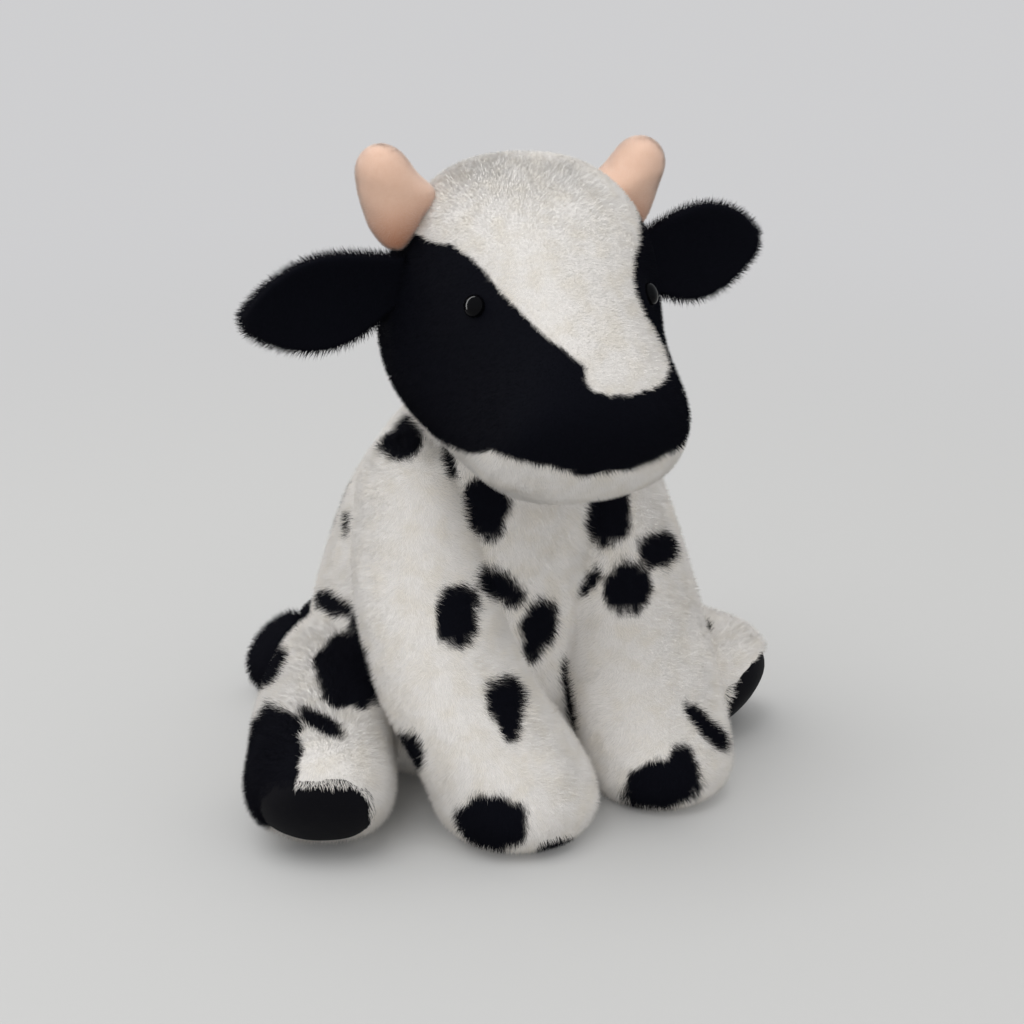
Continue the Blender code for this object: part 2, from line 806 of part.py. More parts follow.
def leg_parts(name, whole, floor, pad_tool_values, cloth):
    """Skin, stuffing and sole pad of a leg from its whole form, the pad cut out of the foot's skin."""
    centre, out, radius, levels, across, flat_share = pad_tool_values
    skin = grown(whole, name + "_skin", 0.0, cloth["white_fur"])
    cavity = grown(whole, "leg_cavity", -skin_thickness)
    stuffing = grown(whole, name + "_stuffing", -skin_thickness - stuffing_gap, cloth["fibre_stuffing"])
    cut(skin, cavity, floor)
    pad = grown(skin, name + "_sole_pad", 0.0, cloth["sole_suede"])
    pad_tool = round_bar("pad_tool", centre, out, (radius, radius), levels, across, flat_share, leg_sides)
    hole_tool = grown(pad_tool, "hole_tool", sewing_gap)
    combine(pad, pad_tool, "INTERSECT")
    cut(skin, hole_tool)
    drop(cavity, pad_tool, hole_tool)
    return skin, stuffing, pad


def make_front_leg(side_name, side, torso, floor, cloth):
    """A front leg from the shoulder down to a foot on the floor, with a sole pad under it."""
    rows = []
    for height, width, length, spread, reach in front_leg_row_shares:
        level = height * front_leg_height - floor_flat_depth
        rows.append((side * spread * shoulder_spread, -reach * front_foot_reach, level,
                     width * front_leg_half_width, length * front_foot_half_length))
    count = len(rows)
    name = side_name + "_front_leg"
    whole = ring_form("leg", np.array(rows), [unit_x] * count, [unit_y] * count, leg_sides)
    sole = np.array((rows[0][0], rows[0][1], 0.0))
    flat_share = front_sole_half_length / front_sole_half_width
    levels = (-skin_thickness, skin_thickness * 2)
    pad_values = (sole, unit_z, front_sole_half_width, levels, unit_x, flat_share)
    skin, stuffing, pad = leg_parts(name, whole, floor, pad_values, cloth)
    hinge = np.array((side * shoulder_spread, shoulder_hinge_setback, shoulder_hinge_height))
    swing_cut([skin, stuffing], torso, chest_middle, hinge, -unit_x, front_leg_range_deg, swing_clearance)
    drop(whole)
    hang(joint_empty(name + "_joint", hinge), skin, stuffing, pad)


def make_hind_leg(side_name, side, foot_spread, leg_lift, torso, floor, cloth):
    """A hind leg from the hip out to a foot with its sole turned outwards and down."""
    rows = []
    for spread, reach, lift, width, height in hind_leg_row_shares:
        rows.append((side * spread * foot_spread, hip_setback - reach * hind_leg_reach, lift * leg_lift,
                     width * hind_leg_half_width, height * leg_lift * hind_leg_girth_share))
    rows = np.array(rows)
    name = side_name + "_hind_leg"
    whole = path_form("leg", rows, np.cross(rows[-1][:3] - rows[0][:3], unit_z), leg_sides)
    out = unit(rows[-1][:3] - rows[-3][:3])
    flat_share = hind_sole_half_height / hind_sole_half_width
    pad_values = (rows[-1][:3], out, hind_sole_half_width, (-skin_thickness * 4, overrun),
                  np.cross(out, unit_z), flat_share)
    skin, stuffing, pad = leg_parts(name, whole, floor, pad_values, cloth)
    hinge = np.array((side * hip_hinge_spread, hip_hinge_setback, hip_hinge_height))
    heading = rows[-1][:3] - rows[0][:3]
    axis = unit(np.cross(heading * (1.0, 1.0, 0.0), unit_z))
    swing_cut([skin, stuffing], torso, seat_middle, hinge, axis, hind_leg_range_deg, swing_clearance)
    drop(whole)
    hang(joint_empty(name + "_joint", hinge), skin, stuffing, pad)


def make_tail(torso, floor, cloth):
    """A tail that curls round to the right and ends in a tuft on the floor."""
    rows = []
    for side, back, height, thickness in tail_row_shares:
        half = thickness * tail_half_thickness
        rows.append((-side * tail_side_reach, tail_root_setback + back * tail_back_reach,
                     height * tail_root_height, half, half))
    rows = np.array(rows)
    tail = path_form("tail", rows, unit_z, small_sides, cloth["black_fur"])
    start = rows[-1][:3]
    along = unit(tuft_direction_shares)
    tuft_rows = []
    for place, thickness in tuft_row_shares:
        middle = start + along * place * tuft_length
        tuft_rows.append((*middle, thickness * tuft_half_thickness, thickness * tuft_half_thickness))
    tuft = path_form("tail_tuft", np.array(tuft_rows), unit_z, small_sides, cloth["black_fur"])
    tuft_tool = grown(tuft, "tuft_tool", sewing_gap)
    cut(tail, tuft_tool)
    cut(tuft, floor)
    hinge = rows[2][:3] + unit_z * tail_half_thickness
    heading = (tuft_rows[3][0] - hinge[0], tuft_rows[3][1] - hinge[1], 0.0)
    axis = unit(np.cross(heading, unit_z))
    swing_cut([tail], torso, seat_middle, hinge, axis, tail_range_deg, tail_clearance)
    drop(tuft_tool)
    hang(joint_empty("tail_joint", hinge), tail, tuft)


def make_head(torso, cloth):
    """The whole head with its skin, stuffing, eyes, horns and ears, nodding on the neck."""
    form = head_form("head_form")
    panels = make_head_skin(form, cloth)
    stuffing = grown(form, "head_stuffing", -skin_thickness - stuffing_gap, cloth["fibre_stuffing"])
    carried = panels + [stuffing]
    ears = []
    sides = (("right", -1.0, -right_eye_spread, right_horn_twist_deg, right_ear_droop_deg,
              right_ear_roll_deg),
             ("left", 1.0, left_eye_spread, left_horn_twist_deg, left_ear_droop_deg, left_ear_roll_deg))
    for side_name, side, eye_spread, twist_deg, droop_deg, roll_deg in sides:
        cheek = next(panel for panel in panels if panel.name == side_name + "_cheek")
        carried += make_eye(side_name, eye_spread, form, cheek, stuffing, cloth)
        horn, *horn_pieces = make_horn(side_name, side, twist_deg, form, cloth)
        carried += horn_pieces
        ears.append((side_name, *make_ear(side_name, side, droop_deg, roll_deg, form, horn, cloth)))
        drop(horn)
    place = head_place()
    moved = carried + [layer for ear in ears for layer in ear[1]]
    for piece in moved:
        piece.data.transform(place)
    axis = np.array(place.to_3x3() @ Vector(unit_x))
    neck_names = ("head_back", "right_cheek", "left_cheek", "head_stuffing")
    near_neck = [piece for piece in carried if piece.name in neck_names]
    nod_axis = unit(axis * (1.0, 1.0, 0.0))
    swing_cut(near_neck, torso, neck_centre, neck_centre, nod_axis, neck_range_deg, swing_clearance)
    neck = joint_empty("neck_joint", neck_centre)
    for side_name, layers, seat, across in ears:
        ear_joint = joint_empty(side_name + "_ear_joint", place @ seat, neck)
        hang(ear_joint, *layers)
    hang(neck, *carried)
    drop(form)


def stand_on_seat():
    """Move the finished cow so that the middle of its seat is the origin."""
    for item in bpy.data.objects:
        if item.parent is None:
            item.location -= Vector((0.0, torso_lean, 0.0))


def main():
    """Build every piece of the cow."""
    clear_scene()
    cloth = make_materials()
    floor = floor_block()
    torso = torso_form("torso_form")
    make_torso(torso, floor, cloth)
    make_head(torso, cloth)
    sides = (("right", -1.0, right_hind_foot_spread, right_hind_leg_lift),
             ("left", 1.0, left_hind_foot_spread, left_hind_leg_lift))
    for side_name, side, foot_spread, leg_lift in sides:
        make_front_leg(side_name, side, torso, floor, cloth)
        make_hind_leg(side_name, side, foot_spread, leg_lift, torso, floor, cloth)
    make_tail(torso, floor, cloth)
    drop(floor, torso)
    stand_on_seat()


main()
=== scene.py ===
"""A sitting plush cow in spotted fur fabric, on a plain pale table.

Metres, +Z up. The cow faces -Y and its left side is at +X. The middle of its seat is the origin.
"""
import math

import bmesh
import bpy
import numpy as np
from mathutils import Matrix, Vector, noise
from mathutils.bvhtree import BVHTree


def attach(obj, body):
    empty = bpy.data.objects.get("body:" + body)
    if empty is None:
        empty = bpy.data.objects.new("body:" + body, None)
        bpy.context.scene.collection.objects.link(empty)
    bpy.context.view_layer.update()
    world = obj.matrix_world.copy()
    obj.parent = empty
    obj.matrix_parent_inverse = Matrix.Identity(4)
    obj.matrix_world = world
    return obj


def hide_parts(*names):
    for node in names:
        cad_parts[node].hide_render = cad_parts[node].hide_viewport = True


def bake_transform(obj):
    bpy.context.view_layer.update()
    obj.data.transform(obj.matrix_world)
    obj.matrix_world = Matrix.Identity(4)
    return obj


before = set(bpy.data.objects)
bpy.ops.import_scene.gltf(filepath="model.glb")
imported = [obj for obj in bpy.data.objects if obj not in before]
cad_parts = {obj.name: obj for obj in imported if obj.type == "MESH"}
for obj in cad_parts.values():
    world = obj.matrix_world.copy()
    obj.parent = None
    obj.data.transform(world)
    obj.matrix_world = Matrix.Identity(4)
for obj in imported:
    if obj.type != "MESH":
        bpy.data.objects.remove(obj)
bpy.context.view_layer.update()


# Camera
# It stands in front of the cow's right, a little above it, about a metre away, with a long lens.
# Spots are placed by where they lie in its 1024 pixel square picture.
camera_turn_deg = -34.0
camera_drop_deg = 21.0
camera_distance = 1.0
picture_side = 1024.0
focal_pixels = 2500.0
film_width = 36.0
seat_setback = 0.036
neck_foot = Vector((0.0, -seat_setback, 0.0))
neck_foot_pixel = (509.0, 770.0)
turn = math.radians(camera_turn_deg)
drop = math.radians(camera_drop_deg)
camera_back = Vector((math.sin(turn) * math.cos(drop), -math.cos(turn) * math.cos(drop), math.sin(drop)))
camera_right = Vector((math.cos(turn), math.sin(turn), 0.0))
camera_up = camera_back.cross(camera_right)
pixel_size = camera_distance / focal_pixels
camera_aim = neck_foot + camera_right * (picture_side / 2 - neck_foot_pixel[0]) * pixel_size
camera_aim.z += (neck_foot_pixel[1] - picture_side / 2) * pixel_size / math.cos(drop)
camera_eye = camera_aim + camera_back * camera_distance
camera_data = bpy.data.cameras.new("camera")
camera_data.sensor_width = film_width
camera_data.lens = film_width * focal_pixels / picture_side
camera = bpy.data.objects.new("camera", camera_data)
bpy.context.collection.objects.link(camera)
camera_axes = Matrix((camera_right, camera_up, camera_back)).transposed().to_4x4()
camera.matrix_world = Matrix.Translation(camera_eye) @ camera_axes
bpy.context.scene.camera = camera


# Torso
# A pear of spotted white fur fabric, stuffed with fibre over a bag of beads, and flat where it sits.
# Its top narrows to a gathered neck, which the head is sewn on.
torso_height = 0.1500
torso_half_width = 0.0660
torso_half_depth = 0.0590
torso_lean = 0.0360
torso_sides = 24
torso_rows = (
    # height, half width, half depth, lean
    (0.000, 0.00, 0.00, 1.00),
    (0.003, 0.62, 0.62, 1.00),
    (0.035, 0.84, 0.84, 1.00),
    (0.125, 0.97, 0.97, 0.98),
    (0.260, 1.01, 1.01, 0.94),
    (0.420, 0.975, 0.96, 0.87),
    (0.600, 0.90, 0.90, 0.74),
    (0.770, 0.81, 0.82, 0.58),
    (0.900, 0.70, 0.69, 0.38),
    (0.985, 0.595, 0.59, 0.22),
)
neck_ball_radius = 0.0360
neck_height = 0.1420
neck_setback = 0.0030
neck_row_degs = (36.0, 52.0, 70.0)
stuffing_lump_height = 0.0006
stuffing_lump_scale = 38.0
small_lump_scale = 90.0
small_lump_share = 0.5
table_lift = 0.0002


def unit(vector):
    """The vector's direction, with a length of one."""
    return np.array(vector, float) / np.linalg.norm(vector)


def link(name, data):
    """An object for a mesh or a light, at the origin."""
    made = bpy.data.objects.new(name, data)
    bpy.context.collection.objects.link(made)
    return made


def plain_copy(source, name):
    """The source as the viewport shows it, as a plain mesh object of its own."""
    bpy.context.view_layer.update()
    evaluated = source.evaluated_get(bpy.context.evaluated_depsgraph_get())
    mesh = bpy.data.meshes.new_from_object(evaluated)
    mesh.name = name
    return link(name, mesh)


def points_of(item):
    """The points of an object's mesh."""
    points = np.empty(len(item.data.vertices) * 3)
    item.data.vertices.foreach_get("co", points)
    return points.reshape(-1, 3)


def normals_of(item):
    """The normals at the points of an object's mesh."""
    normals = np.empty(len(item.data.vertices) * 3)
    item.data.vertices.foreach_get("normal", normals)
    return normals.reshape(-1, 3)


def move_points(item, places, lowest):
    """Put the points of an object's mesh at places, but none below the lowest height."""
    places[:, 2] = np.maximum(places[:, 2], lowest)
    item.data.vertices.foreach_set("co", places.ravel())
    item.data.update()


def tree_of(item):
    """A search tree over an object's mesh."""
    faces = [face.vertices[:] for face in item.data.polygons]
    return BVHTree.FromPolygons([point.co for point in item.data.vertices], faces)


def smooth_form(name, points, faces, levels):
    """A smooth object from a coarse closed cage of points and faces, with its faces turned outwards."""
    mesh = bpy.data.meshes.new(name + "_cage")
    mesh.from_pydata([tuple(point) for point in points], [], faces)
    body = bmesh.new()
    body.from_mesh(mesh)
    bmesh.ops.recalc_face_normals(body, faces=body.faces)
    body.to_mesh(mesh)
    body.free()
    cage = link(name + "_cage", mesh)
    smoothing = cage.modifiers.new("smoothing", "SUBSURF")
    smoothing.levels = levels
    smoothing.render_levels = levels
    made = plain_copy(cage, name)
    bpy.data.objects.remove(cage, do_unlink=True)
    made.data.shade_smooth()
    return made


def stuffed_form(name, rings, ends, levels, lump_height=stuffing_lump_height, lowest=table_lift):
    """A smooth closed form through rings of points between two end points, uneven from its stuffing."""
    sides = len(rings[0])
    points = [ends[0]] + [point for ring in rings for point in ring] + [ends[1]]
    faces = []
    for ring in range(len(rings) - 1):
        for side in range(sides):
            here = 1 + ring * sides + side
            beside = 1 + ring * sides + (side + 1) % sides
            faces.append((here, beside, beside + sides, here + sides))
    last = 1 + (len(rings) - 1) * sides
    for side in range(sides):
        faces.append((0, 1 + (side + 1) % sides, 1 + side))
        faces.append((last + sides, last + side, last + (side + 1) % sides))
    made = smooth_form(name, points, faces, levels)
    places = points_of(made)
    swell = np.array([noise.noise(Vector(p) * stuffing_lump_scale)
                      + small_lump_share * noise.noise(Vector(p) * small_lump_scale) for p in places])
    places += normals_of(made) * swell[:, None] * lump_height
    move_points(made, places, lowest)
    return made


def oval_ring(middle, side_dir, up_dir, half_width, half_height, sides):
    """A ring of points round a middle point, from its half sizes along two directions."""
    angles = [math.tau * side / sides for side in range(sides)]
    return [middle + side_dir * half_width * math.cos(angle) + up_dir * half_height * math.sin(angle)
            for angle in angles]


def upright_rings(rows, sides):
    """Level rings from rows of a middle point and half sizes along X and Y, and their end points."""
    x_dir, y_dir = np.array((1.0, 0.0, 0.0)), np.array((0.0, 1.0, 0.0))
    rings = [oval_ring(np.array(row[:3]), x_dir, y_dir, row[3], row[4], sides) for row in rows[1:-1]]
    return rings, (rows[0][:3], rows[-1][:3])


def path_rings(rows, across, sides):
    """Rings square to the middle line of rows, from rows of a middle point and half sizes across and up."""
    middles = np.array([row[:3] for row in rows])
    tangents = np.gradient(middles, axis=0)
    rings = []
    for row, tangent in list(zip(rows, tangents))[1:-1]:
        along = unit(tangent)
        side_dir = unit(across - along * np.dot(across, along))
        up_dir = np.cross(along, side_dir)
        rings.append(oval_ring(np.array(row[:3]), side_dir, up_dir, row[3], row[4], sides))
    return rings, (middles[0], middles[-1])


rows = []
for height, width, depth, lean in torso_rows:
    rows.append((0.0, lean * torso_lean - seat_setback, height * torso_height, width * torso_half_width,
                 depth * torso_half_depth))
for degrees in neck_row_degs:
    slope = math.radians(degrees)
    radius = neck_ball_radius * math.cos(slope)
    rows.append((0.0, neck_setback - seat_setback, neck_height + neck_ball_radius * math.sin(slope), radius,
                 radius))
rows.append((0.0, neck_setback - seat_setback, neck_height + neck_ball_radius, 0.0, 0.0))
torso_cloth = stuffed_form("torso_cloth", *upright_rings(rows, torso_sides), levels=3)
torso_tree = tree_of(torso_cloth)


# Front legs
# Two arms of the same fur fabric, stuffed with fibre and sewn on at the shoulders, reach down to the table.
# Each foot swings a little forward, and a flat suede pad closes it underneath.
sides = {"right": -1.0, "left": 1.0}
leg_sides = 20
front_leg_height = 0.1500
front_leg_half_width = 0.0282
front_foot_half_length = 0.0292
shoulder_spread = 0.0450
front_foot_reach = 0.0565
front_sole_half_width = 0.0170
front_sole_half_length = 0.0190
front_leg_rows = (
    # height, half width, half length, spread, reach
    (0.000, 0.00, 0.00, 0.76, 0.96),
    (0.004, 0.70, 0.70, 0.76, 0.96),
    (0.045, 0.94, 0.94, 0.76, 0.98),
    (0.110, 1.01, 1.01, 0.77, 0.98),
    (0.200, 1.03, 0.99, 0.81, 0.84),
    (0.320, 1.06, 0.91, 0.91, 0.60),
    (0.470, 1.01, 0.86, 0.98, 0.35),
    (0.640, 0.90, 0.80, 1.01, 0.15),
    (0.800, 0.78, 0.74, 0.98, 0.02),
    (0.915, 0.67, 0.63, 0.96, -0.05),
    (0.980, 0.42, 0.40, 0.94, -0.08),
    (1.000, 0.00, 0.00, 0.93, -0.10),
)
front_leg_bends = {
    # height, shift along X and also back, widening
    "right": ((0.0, 0.0035, 1.02), (0.045, 0.0035, 1.08), (0.11, 0.0035, 1.12), (0.20, 0.0025, 1.08),
              (0.32, -0.0015, 1.00), (0.47, -0.0030, 0.98), (0.64, -0.0020, 1.0), (0.80, 0.0, 1.0)),
    "left": ((0.0, 0.0010, 1.0), (0.20, 0.0010, 1.0), (0.47, 0.0, 1.0)),
}
# The seam's setback and height, at its start and at its end.
shoulder_seam = ((-0.030, 0.146), (-0.036, 0.114))
legs = {}
front_soles = {}
for side_name, side in sides.items():
    rows = []
    bend_heights, shifts, widenings = zip(*front_leg_bends[side_name])
    for height, width, length, spread, reach in front_leg_rows:
        widening = np.interp(height, bend_heights, widenings)
        shift = np.interp(height, bend_heights, shifts)
        rows.append((side * spread * shoulder_spread + shift,
                     max(shift, 0.0) - reach * front_foot_reach - seat_setback, height * front_leg_height,
                     width * front_leg_half_width * widening, length * front_foot_half_length))
    name = side_name + "_front_leg"
    front_soles[name] = np.array(rows[0][:3])
    legs[name] = stuffed_form(name + "_cloth", *upright_rings(rows, leg_sides), levels=3)


# Hind legs
# Two short stuffed legs of the same fabric are sewn on low at the hips and point out and forward.
# Their feet turn up, so that the suede pads on their soles show.
hip_setback = 0.0480
hind_leg_reach = 0.0790
hind_leg_half_width = 0.0276
hind_leg_girth_share = 0.744
hind_foot_spreads = {"right": 0.1098, "left": 0.1028}
hind_leg_lifts = {"right": 0.0390, "left": 0.0350}
hind_sole_half_width = 0.0236
hind_sole_half_height = 0.0205
hind_sole_rise = 0.0008
hind_leg_rows = (
    # spread, reach, lift, half width, half height
    (0.25, 0.000, 1.000, 0.00, 0.00),
    (0.30, 0.010, 1.000, 0.74, 0.72),
    (0.43, 0.080, 1.000, 1.02, 1.00),
    (0.59, 0.230, 0.930, 1.02, 1.00),
    (0.73, 0.440, 0.800, 0.96, 0.95),
    (0.83, 0.660, 0.665, 0.96, 0.915),
    (0.90, 0.810, 0.638, 1.00, 0.90),
    (0.955, 0.915, 0.575, 0.94, 0.82),
    (0.99, 0.985, 0.480, 0.64, 0.57),
    (1.00, 1.000, 0.440, 0.00, 0.00),
)
hip_seam_spread = 0.056
hip_seam_height = 0.045
hip_seam_start = 0.008
hip_seam_end = 0.017
hind_paths = {}
for side_name, side in sides.items():
    rows = []
    for spread, reach, lift, width, height in hind_leg_rows:
        leg_lift = hind_leg_lifts[side_name]
        rows.append((side * spread * hind_foot_spreads[side_name],
                     hip_setback - reach * hind_leg_reach - seat_setback, lift * leg_lift,
                     width * hind_leg_half_width, height * leg_lift * hind_leg_girth_share))
    name = side_name + "_hind_leg"
    hind_paths[name] = np.array(rows)[:, :3]
    heading = hind_paths[name][-1] - hind_paths[name][0]
    rings = path_rings(rows, np.cross(heading, (0.0, 0.0, 1.0)), leg_sides)
    legs[name] = stuffed_form(name + "_cloth", *rings, levels=3)
leg_trees = {name: tree_of(cloth) for name, cloth in legs.items()}


# Head
# A broad stuffed muzzle and skull in one, sewn from navy-black panels, a white blaze from forehead to nose
# and a white chin. It sits over the neck gather, turned a little to its right.
skull_place = Vector((0.0, -0.0100 - seat_setback, 0.2040))
head_turn_deg = -8.0
head_tilt_deg = 4.0
nose_drop_deg = 30.0
head_length = 0.1420
skull_back_length = 0.0520
head_half_width = 0.0526
head_half_height = 0.0516
head_fullness_power = 0.80
head_sides = 24
head_lump_height = 0.0005
head_rows = (
    # place, half width, half height, rise, jowl, low fullness
    (0.000, 0.00, 0.00, 0.00, 0.00, 0.00),
    (0.030, 0.44, 0.44, 0.00, 0.00, 0.00),
    (0.110, 0.75, 0.76, 0.00, 0.00, 0.02),
    (0.230, 0.92, 0.94, 0.00, 0.06, 0.08),
    (0.375, 0.965, 1.00, 0.00, 0.10, 0.15),
    (0.490, 0.925, 0.96, -0.01, 0.18, 0.15),
    (0.600, 0.85, 0.87, -0.03, 0.25, 0.10),
    (0.700, 0.78, 0.77, -0.06, 0.24, 0.04),
    (0.800, 0.77, 0.67, -0.07, 0.16, 0.00),
    (0.890, 0.755, 0.57, -0.07, 0.08, 0.00),
    (0.950, 0.645, 0.46, -0.06, 0.04, 0.00),
    (0.985, 0.38, 0.28, -0.05, 0.00, 0.00),
    (1.000, 0.00, 0.00, -0.04, 0.00, 0.00),
)
# The panels' edges: which of the rows above, counted with fractions, and degrees from the top of the head.
blaze_back_row = 1.5
blaze_front_row = 9.32
blaze_right_edge_degs = ((1.5, 60.0), (2.4, 66.0), (3.1, 72.0), (3.7, 65.3), (4.1, 57.5), (4.65, 53.1),
                         (5.1, 51.0), (5.8, 49.0), (6.4, 43.8), (6.9, 39.1), (7.4, 31.9), (7.75, 23.6),
                         (8.1, 17.1), (8.4, 12.3), (8.75, 13.1), (9.1, 9.2), (9.3, 2.0))
blaze_left_edge_degs = ((1.5, 60.0), (3.0, 58.0), (4.3, 43.0), (4.85, 41.0), (5.4, 33.4), (5.95, 30.2),
                        (6.4, 31.0), (6.8, 36.0), (7.1, 44.0), (7.5, 51.0), (8.3, 43.0), (8.8, 30.2),
                        (9.15, 17.3), (9.3, 7.0))
chin_edge_degs = ((5.6, 200.0), (6.2, 141.0), (7.2, 124.6), (8.1, 110.0), (8.9, 92.0), (9.5, 90.0),
                  (10.0, 88.0), (10.6, 86.0), (11.2, 92.0), (11.6, 120.0), (11.8, 200.0))
head_row_length = 0.012
panel_edge_width = 0.0015
panel_wobble = 0.0006
panel_wobble_scale = 240.0
least_half_size = 1e-4
head_place = Matrix.Translation(skull_place)
head_place = head_place @ Matrix.Rotation(math.radians(head_turn_deg), 4, "Z")
head_place = head_place @ Matrix.Rotation(math.radians(head_tilt_deg), 4, "Y")
nose_slope = math.radians(nose_drop_deg)
head_forward = np.array((0.0, -math.cos(nose_slope), -math.sin(nose_slope)))
head_rising = np.array((0.0, -math.sin(nose_slope), math.cos(nose_slope)))


def in_world(points):
    """Points of the head's own frame, in the scene."""
    return np.asarray(points) @ np.array(head_place.to_3x3()).T + np.array(head_place.translation)


def in_head(points):
    """Points of the scene, in the head's own frame."""
    back = head_place.inverted()
    return np.asarray(points) @ np.array(back.to_3x3()).T + np.array(back.translation)


head_columns = np.array(head_rows).T
rings = []
for place, width, height, rise, jowl, fullness in head_rows[1:-1]:
    middle = head_forward * (place * head_length - skull_back_length)
    middle = middle + head_rising * rise * head_half_height
    ring = []
    for step in range(head_sides):
        angle = math.tau * step / head_sides
        across = math.copysign(abs(math.cos(angle)) ** head_fullness_power, -math.cos(angle))
        up = math.copysign(abs(math.sin(angle)) ** head_fullness_power, math.sin(angle))
        share = 1.0 - jowl * up + fullness * max(-up, 0.0)
        out = np.array((across * share * width * head_half_width, 0.0, 0.0))
        ring.append(in_world(middle + out + head_rising * up * height * head_half_height))
    rings.append(ring)
ends = [in_world(head_forward * (row[0] * head_length - skull_back_length)
                 + head_rising * row[3] * head_half_height) for row in (head_rows[0], head_rows[-1])]
head_cloth = stuffed_form("head_cloth", rings, ends, levels=3, lump_height=head_lump_height)
head_tree = tree_of(head_cloth)


def head_darkness(points):
    """The head's dye: dark but for the blaze down the face and the chin, with a furry edge."""
    local = in_head(points)
    forward = local @ head_forward
    rising = local @ head_rising
    place = np.clip((forward + skull_back_length) / head_length, 0.0, 1.0)
    row = np.interp(place, head_columns[0], np.arange(len(head_rows)))
    width, height, rise, jowl, fullness = (np.interp(place, head_columns[0], column)
                                           for column in head_columns[1:])
    up = (rising - rise * head_half_height) / np.maximum(height * head_half_height, least_half_size)
    share = 1.0 - jowl * up + fullness * np.maximum(-up, 0.0)
    across = local[:, 0] / np.maximum(share * width * head_half_width, least_half_size)
    flat = 1.0 / head_fullness_power
    up, across = (np.sign(part) * np.abs(part) ** flat for part in (up, -across))
    angle = np.degrees(np.arctan2(up, across))
    off_top = (angle - 90.0 + 180.0) % 360.0 - 180.0
    wobble = np.array([noise.noise(Vector(p) * panel_wobble_scale) for p in points])
    degree_length = math.radians(1.0) * np.minimum(width * head_half_width, height * head_half_height)
    right_edge = np.interp(row, *zip(*blaze_right_edge_degs))
    left_edge = np.interp(row, *zip(*blaze_left_edge_degs))
    edge_room = np.where(off_top < 0.0, right_edge + off_top, left_edge - off_top) * degree_length
    back_room = (row - blaze_back_row) * head_row_length
    front_room = (blaze_front_row - row) * head_row_length
    blaze_room = np.minimum(np.minimum(edge_room, back_room), front_room)
    chin_room = (np.abs(off_top) - np.interp(row, *zip(*chin_edge_degs))) * degree_length
    room = np.maximum(blaze_room, chin_room) + wobble * panel_wobble
    return 1.0 - np.clip(room / panel_edge_width + 0.5, 0.0, 1.0)


# Eyes
# Two domed safety eyes of glossy black plastic, pushed through the cheeks and held by washers inside.
# They are the 8 mm size.
eye_radius = 0.0042
eye_dome_height = 0.0034
eye_foot_depth = 0.0012
eye_places = {"right": (-0.0335, -0.0322, 0.0045), "left": (0.0240, -0.0365, 0.0050)}
eye_sides = 24
eye_rows = (
    # height, share of the radius
    (-0.0012, 0.90), (0.0, 1.04), (0.0009, 1.03), (0.0019, 0.92), (0.0027, 0.70), (0.0032, 0.38),
)
eye_black = (0.002, 0.002, 0.0026, 1.0)
eye_roughness = 0.07
eye_shine = 0.08


def set_inputs(tree, node, **values):
    """Put values, or other nodes' sockets, on a node's inputs, by name or as i0 for the first of them."""
    for key, value in values.items():
        place = int(key[1:]) if key[1:].isdigit() else key.replace("_", " ")
        if isinstance(value, bpy.types.NodeSocket):
            tree.links.new(value, node.inputs[place])
        else:
            node.inputs[place].default_value = value


def set_surface(finish, **values):
    """Put values, or nodes' sockets, on the inputs of a material's surface."""
    set_inputs(finish.node_tree, finish.node_tree.nodes["Principled BSDF"], **values)


def new_finish(name, **values):
    """A material with values on its surface."""
    finish = bpy.data.materials.new(name)
    finish.use_nodes = True
    set_surface(finish, **values)
    return finish


eye_gloss = new_finish("eye_gloss", Base_Color=eye_black, Roughness=eye_roughness,
                       Specular_IOR_Level=eye_shine)
eye_middles = []
eye_domes = {}
for side_name, place in eye_places.items():
    middle, out = (np.array(found) for found in head_tree.find_nearest(Vector(in_world(place)))[:2])
    across = unit(np.cross(out, (0.0, 0.0, 1.0)))
    rings = [oval_ring(middle + out * level, across, np.cross(out, across), share * eye_radius,
                       share * eye_radius, eye_sides) for level, share in eye_rows]
    ends = (middle - out * eye_foot_depth, middle + out * eye_dome_height)
    eye = stuffed_form(side_name + "_eye_dome", rings, ends, levels=2, lump_height=0.0)
    eye.data.materials.append(eye_gloss)
    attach(eye, "head")
    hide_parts(side_name + "_eye")
    eye_middles.append(middle)
    eye_domes[side_name] = eye


# Horns
# Two rounded lobes of peach velour, stuffed, pinched at the root and sewn into the top of the head.
# The velour's pile is very short and fine, and its colour is deeper towards the root, partly with painted
# shade.
horn_spreads = {"right": 0.0450, "left": 0.0385}
horn_twist_degs = {"right": 0.0, "left": 15.0}
horn_setback = 0.0080
horn_rise = 0.0140
horn_lean_deg = 11.0
horn_length = 0.0452
horn_sides = 18
horn_lump_height = 0.0004
horn_rows = (
    # place, shift outwards, half width, half depth
    (0.070, 0.0054, 0.0000, 0.0000),
    (0.110, 0.0054, 0.0040, 0.0037),
    (0.197, 0.0052, 0.0069, 0.0062),
    (0.282, 0.0048, 0.0094, 0.0083),
    (0.368, 0.0041, 0.0107, 0.0096),
    (0.453, 0.0026, 0.0132, 0.0105),
    (0.564, 0.0012, 0.0155, 0.0110),
    (0.640, 0.0028, 0.0136, 0.0110),
    (0.710, 0.0047, 0.0118, 0.0107),
    (0.795, 0.0054, 0.0104, 0.0097),
    (0.880, 0.0053, 0.0082, 0.0079),
    (0.940, 0.0052, 0.0050, 0.0051),
    (0.975, 0.0052, 0.0000, 0.0000),
)
velour_roughness = 0.9
velour_sheen = 0.10
velour_shine = 0.15
velour_grain_scale = 420.0
velour_low_tone = (0.71, 0.455, 0.330, 1.0)
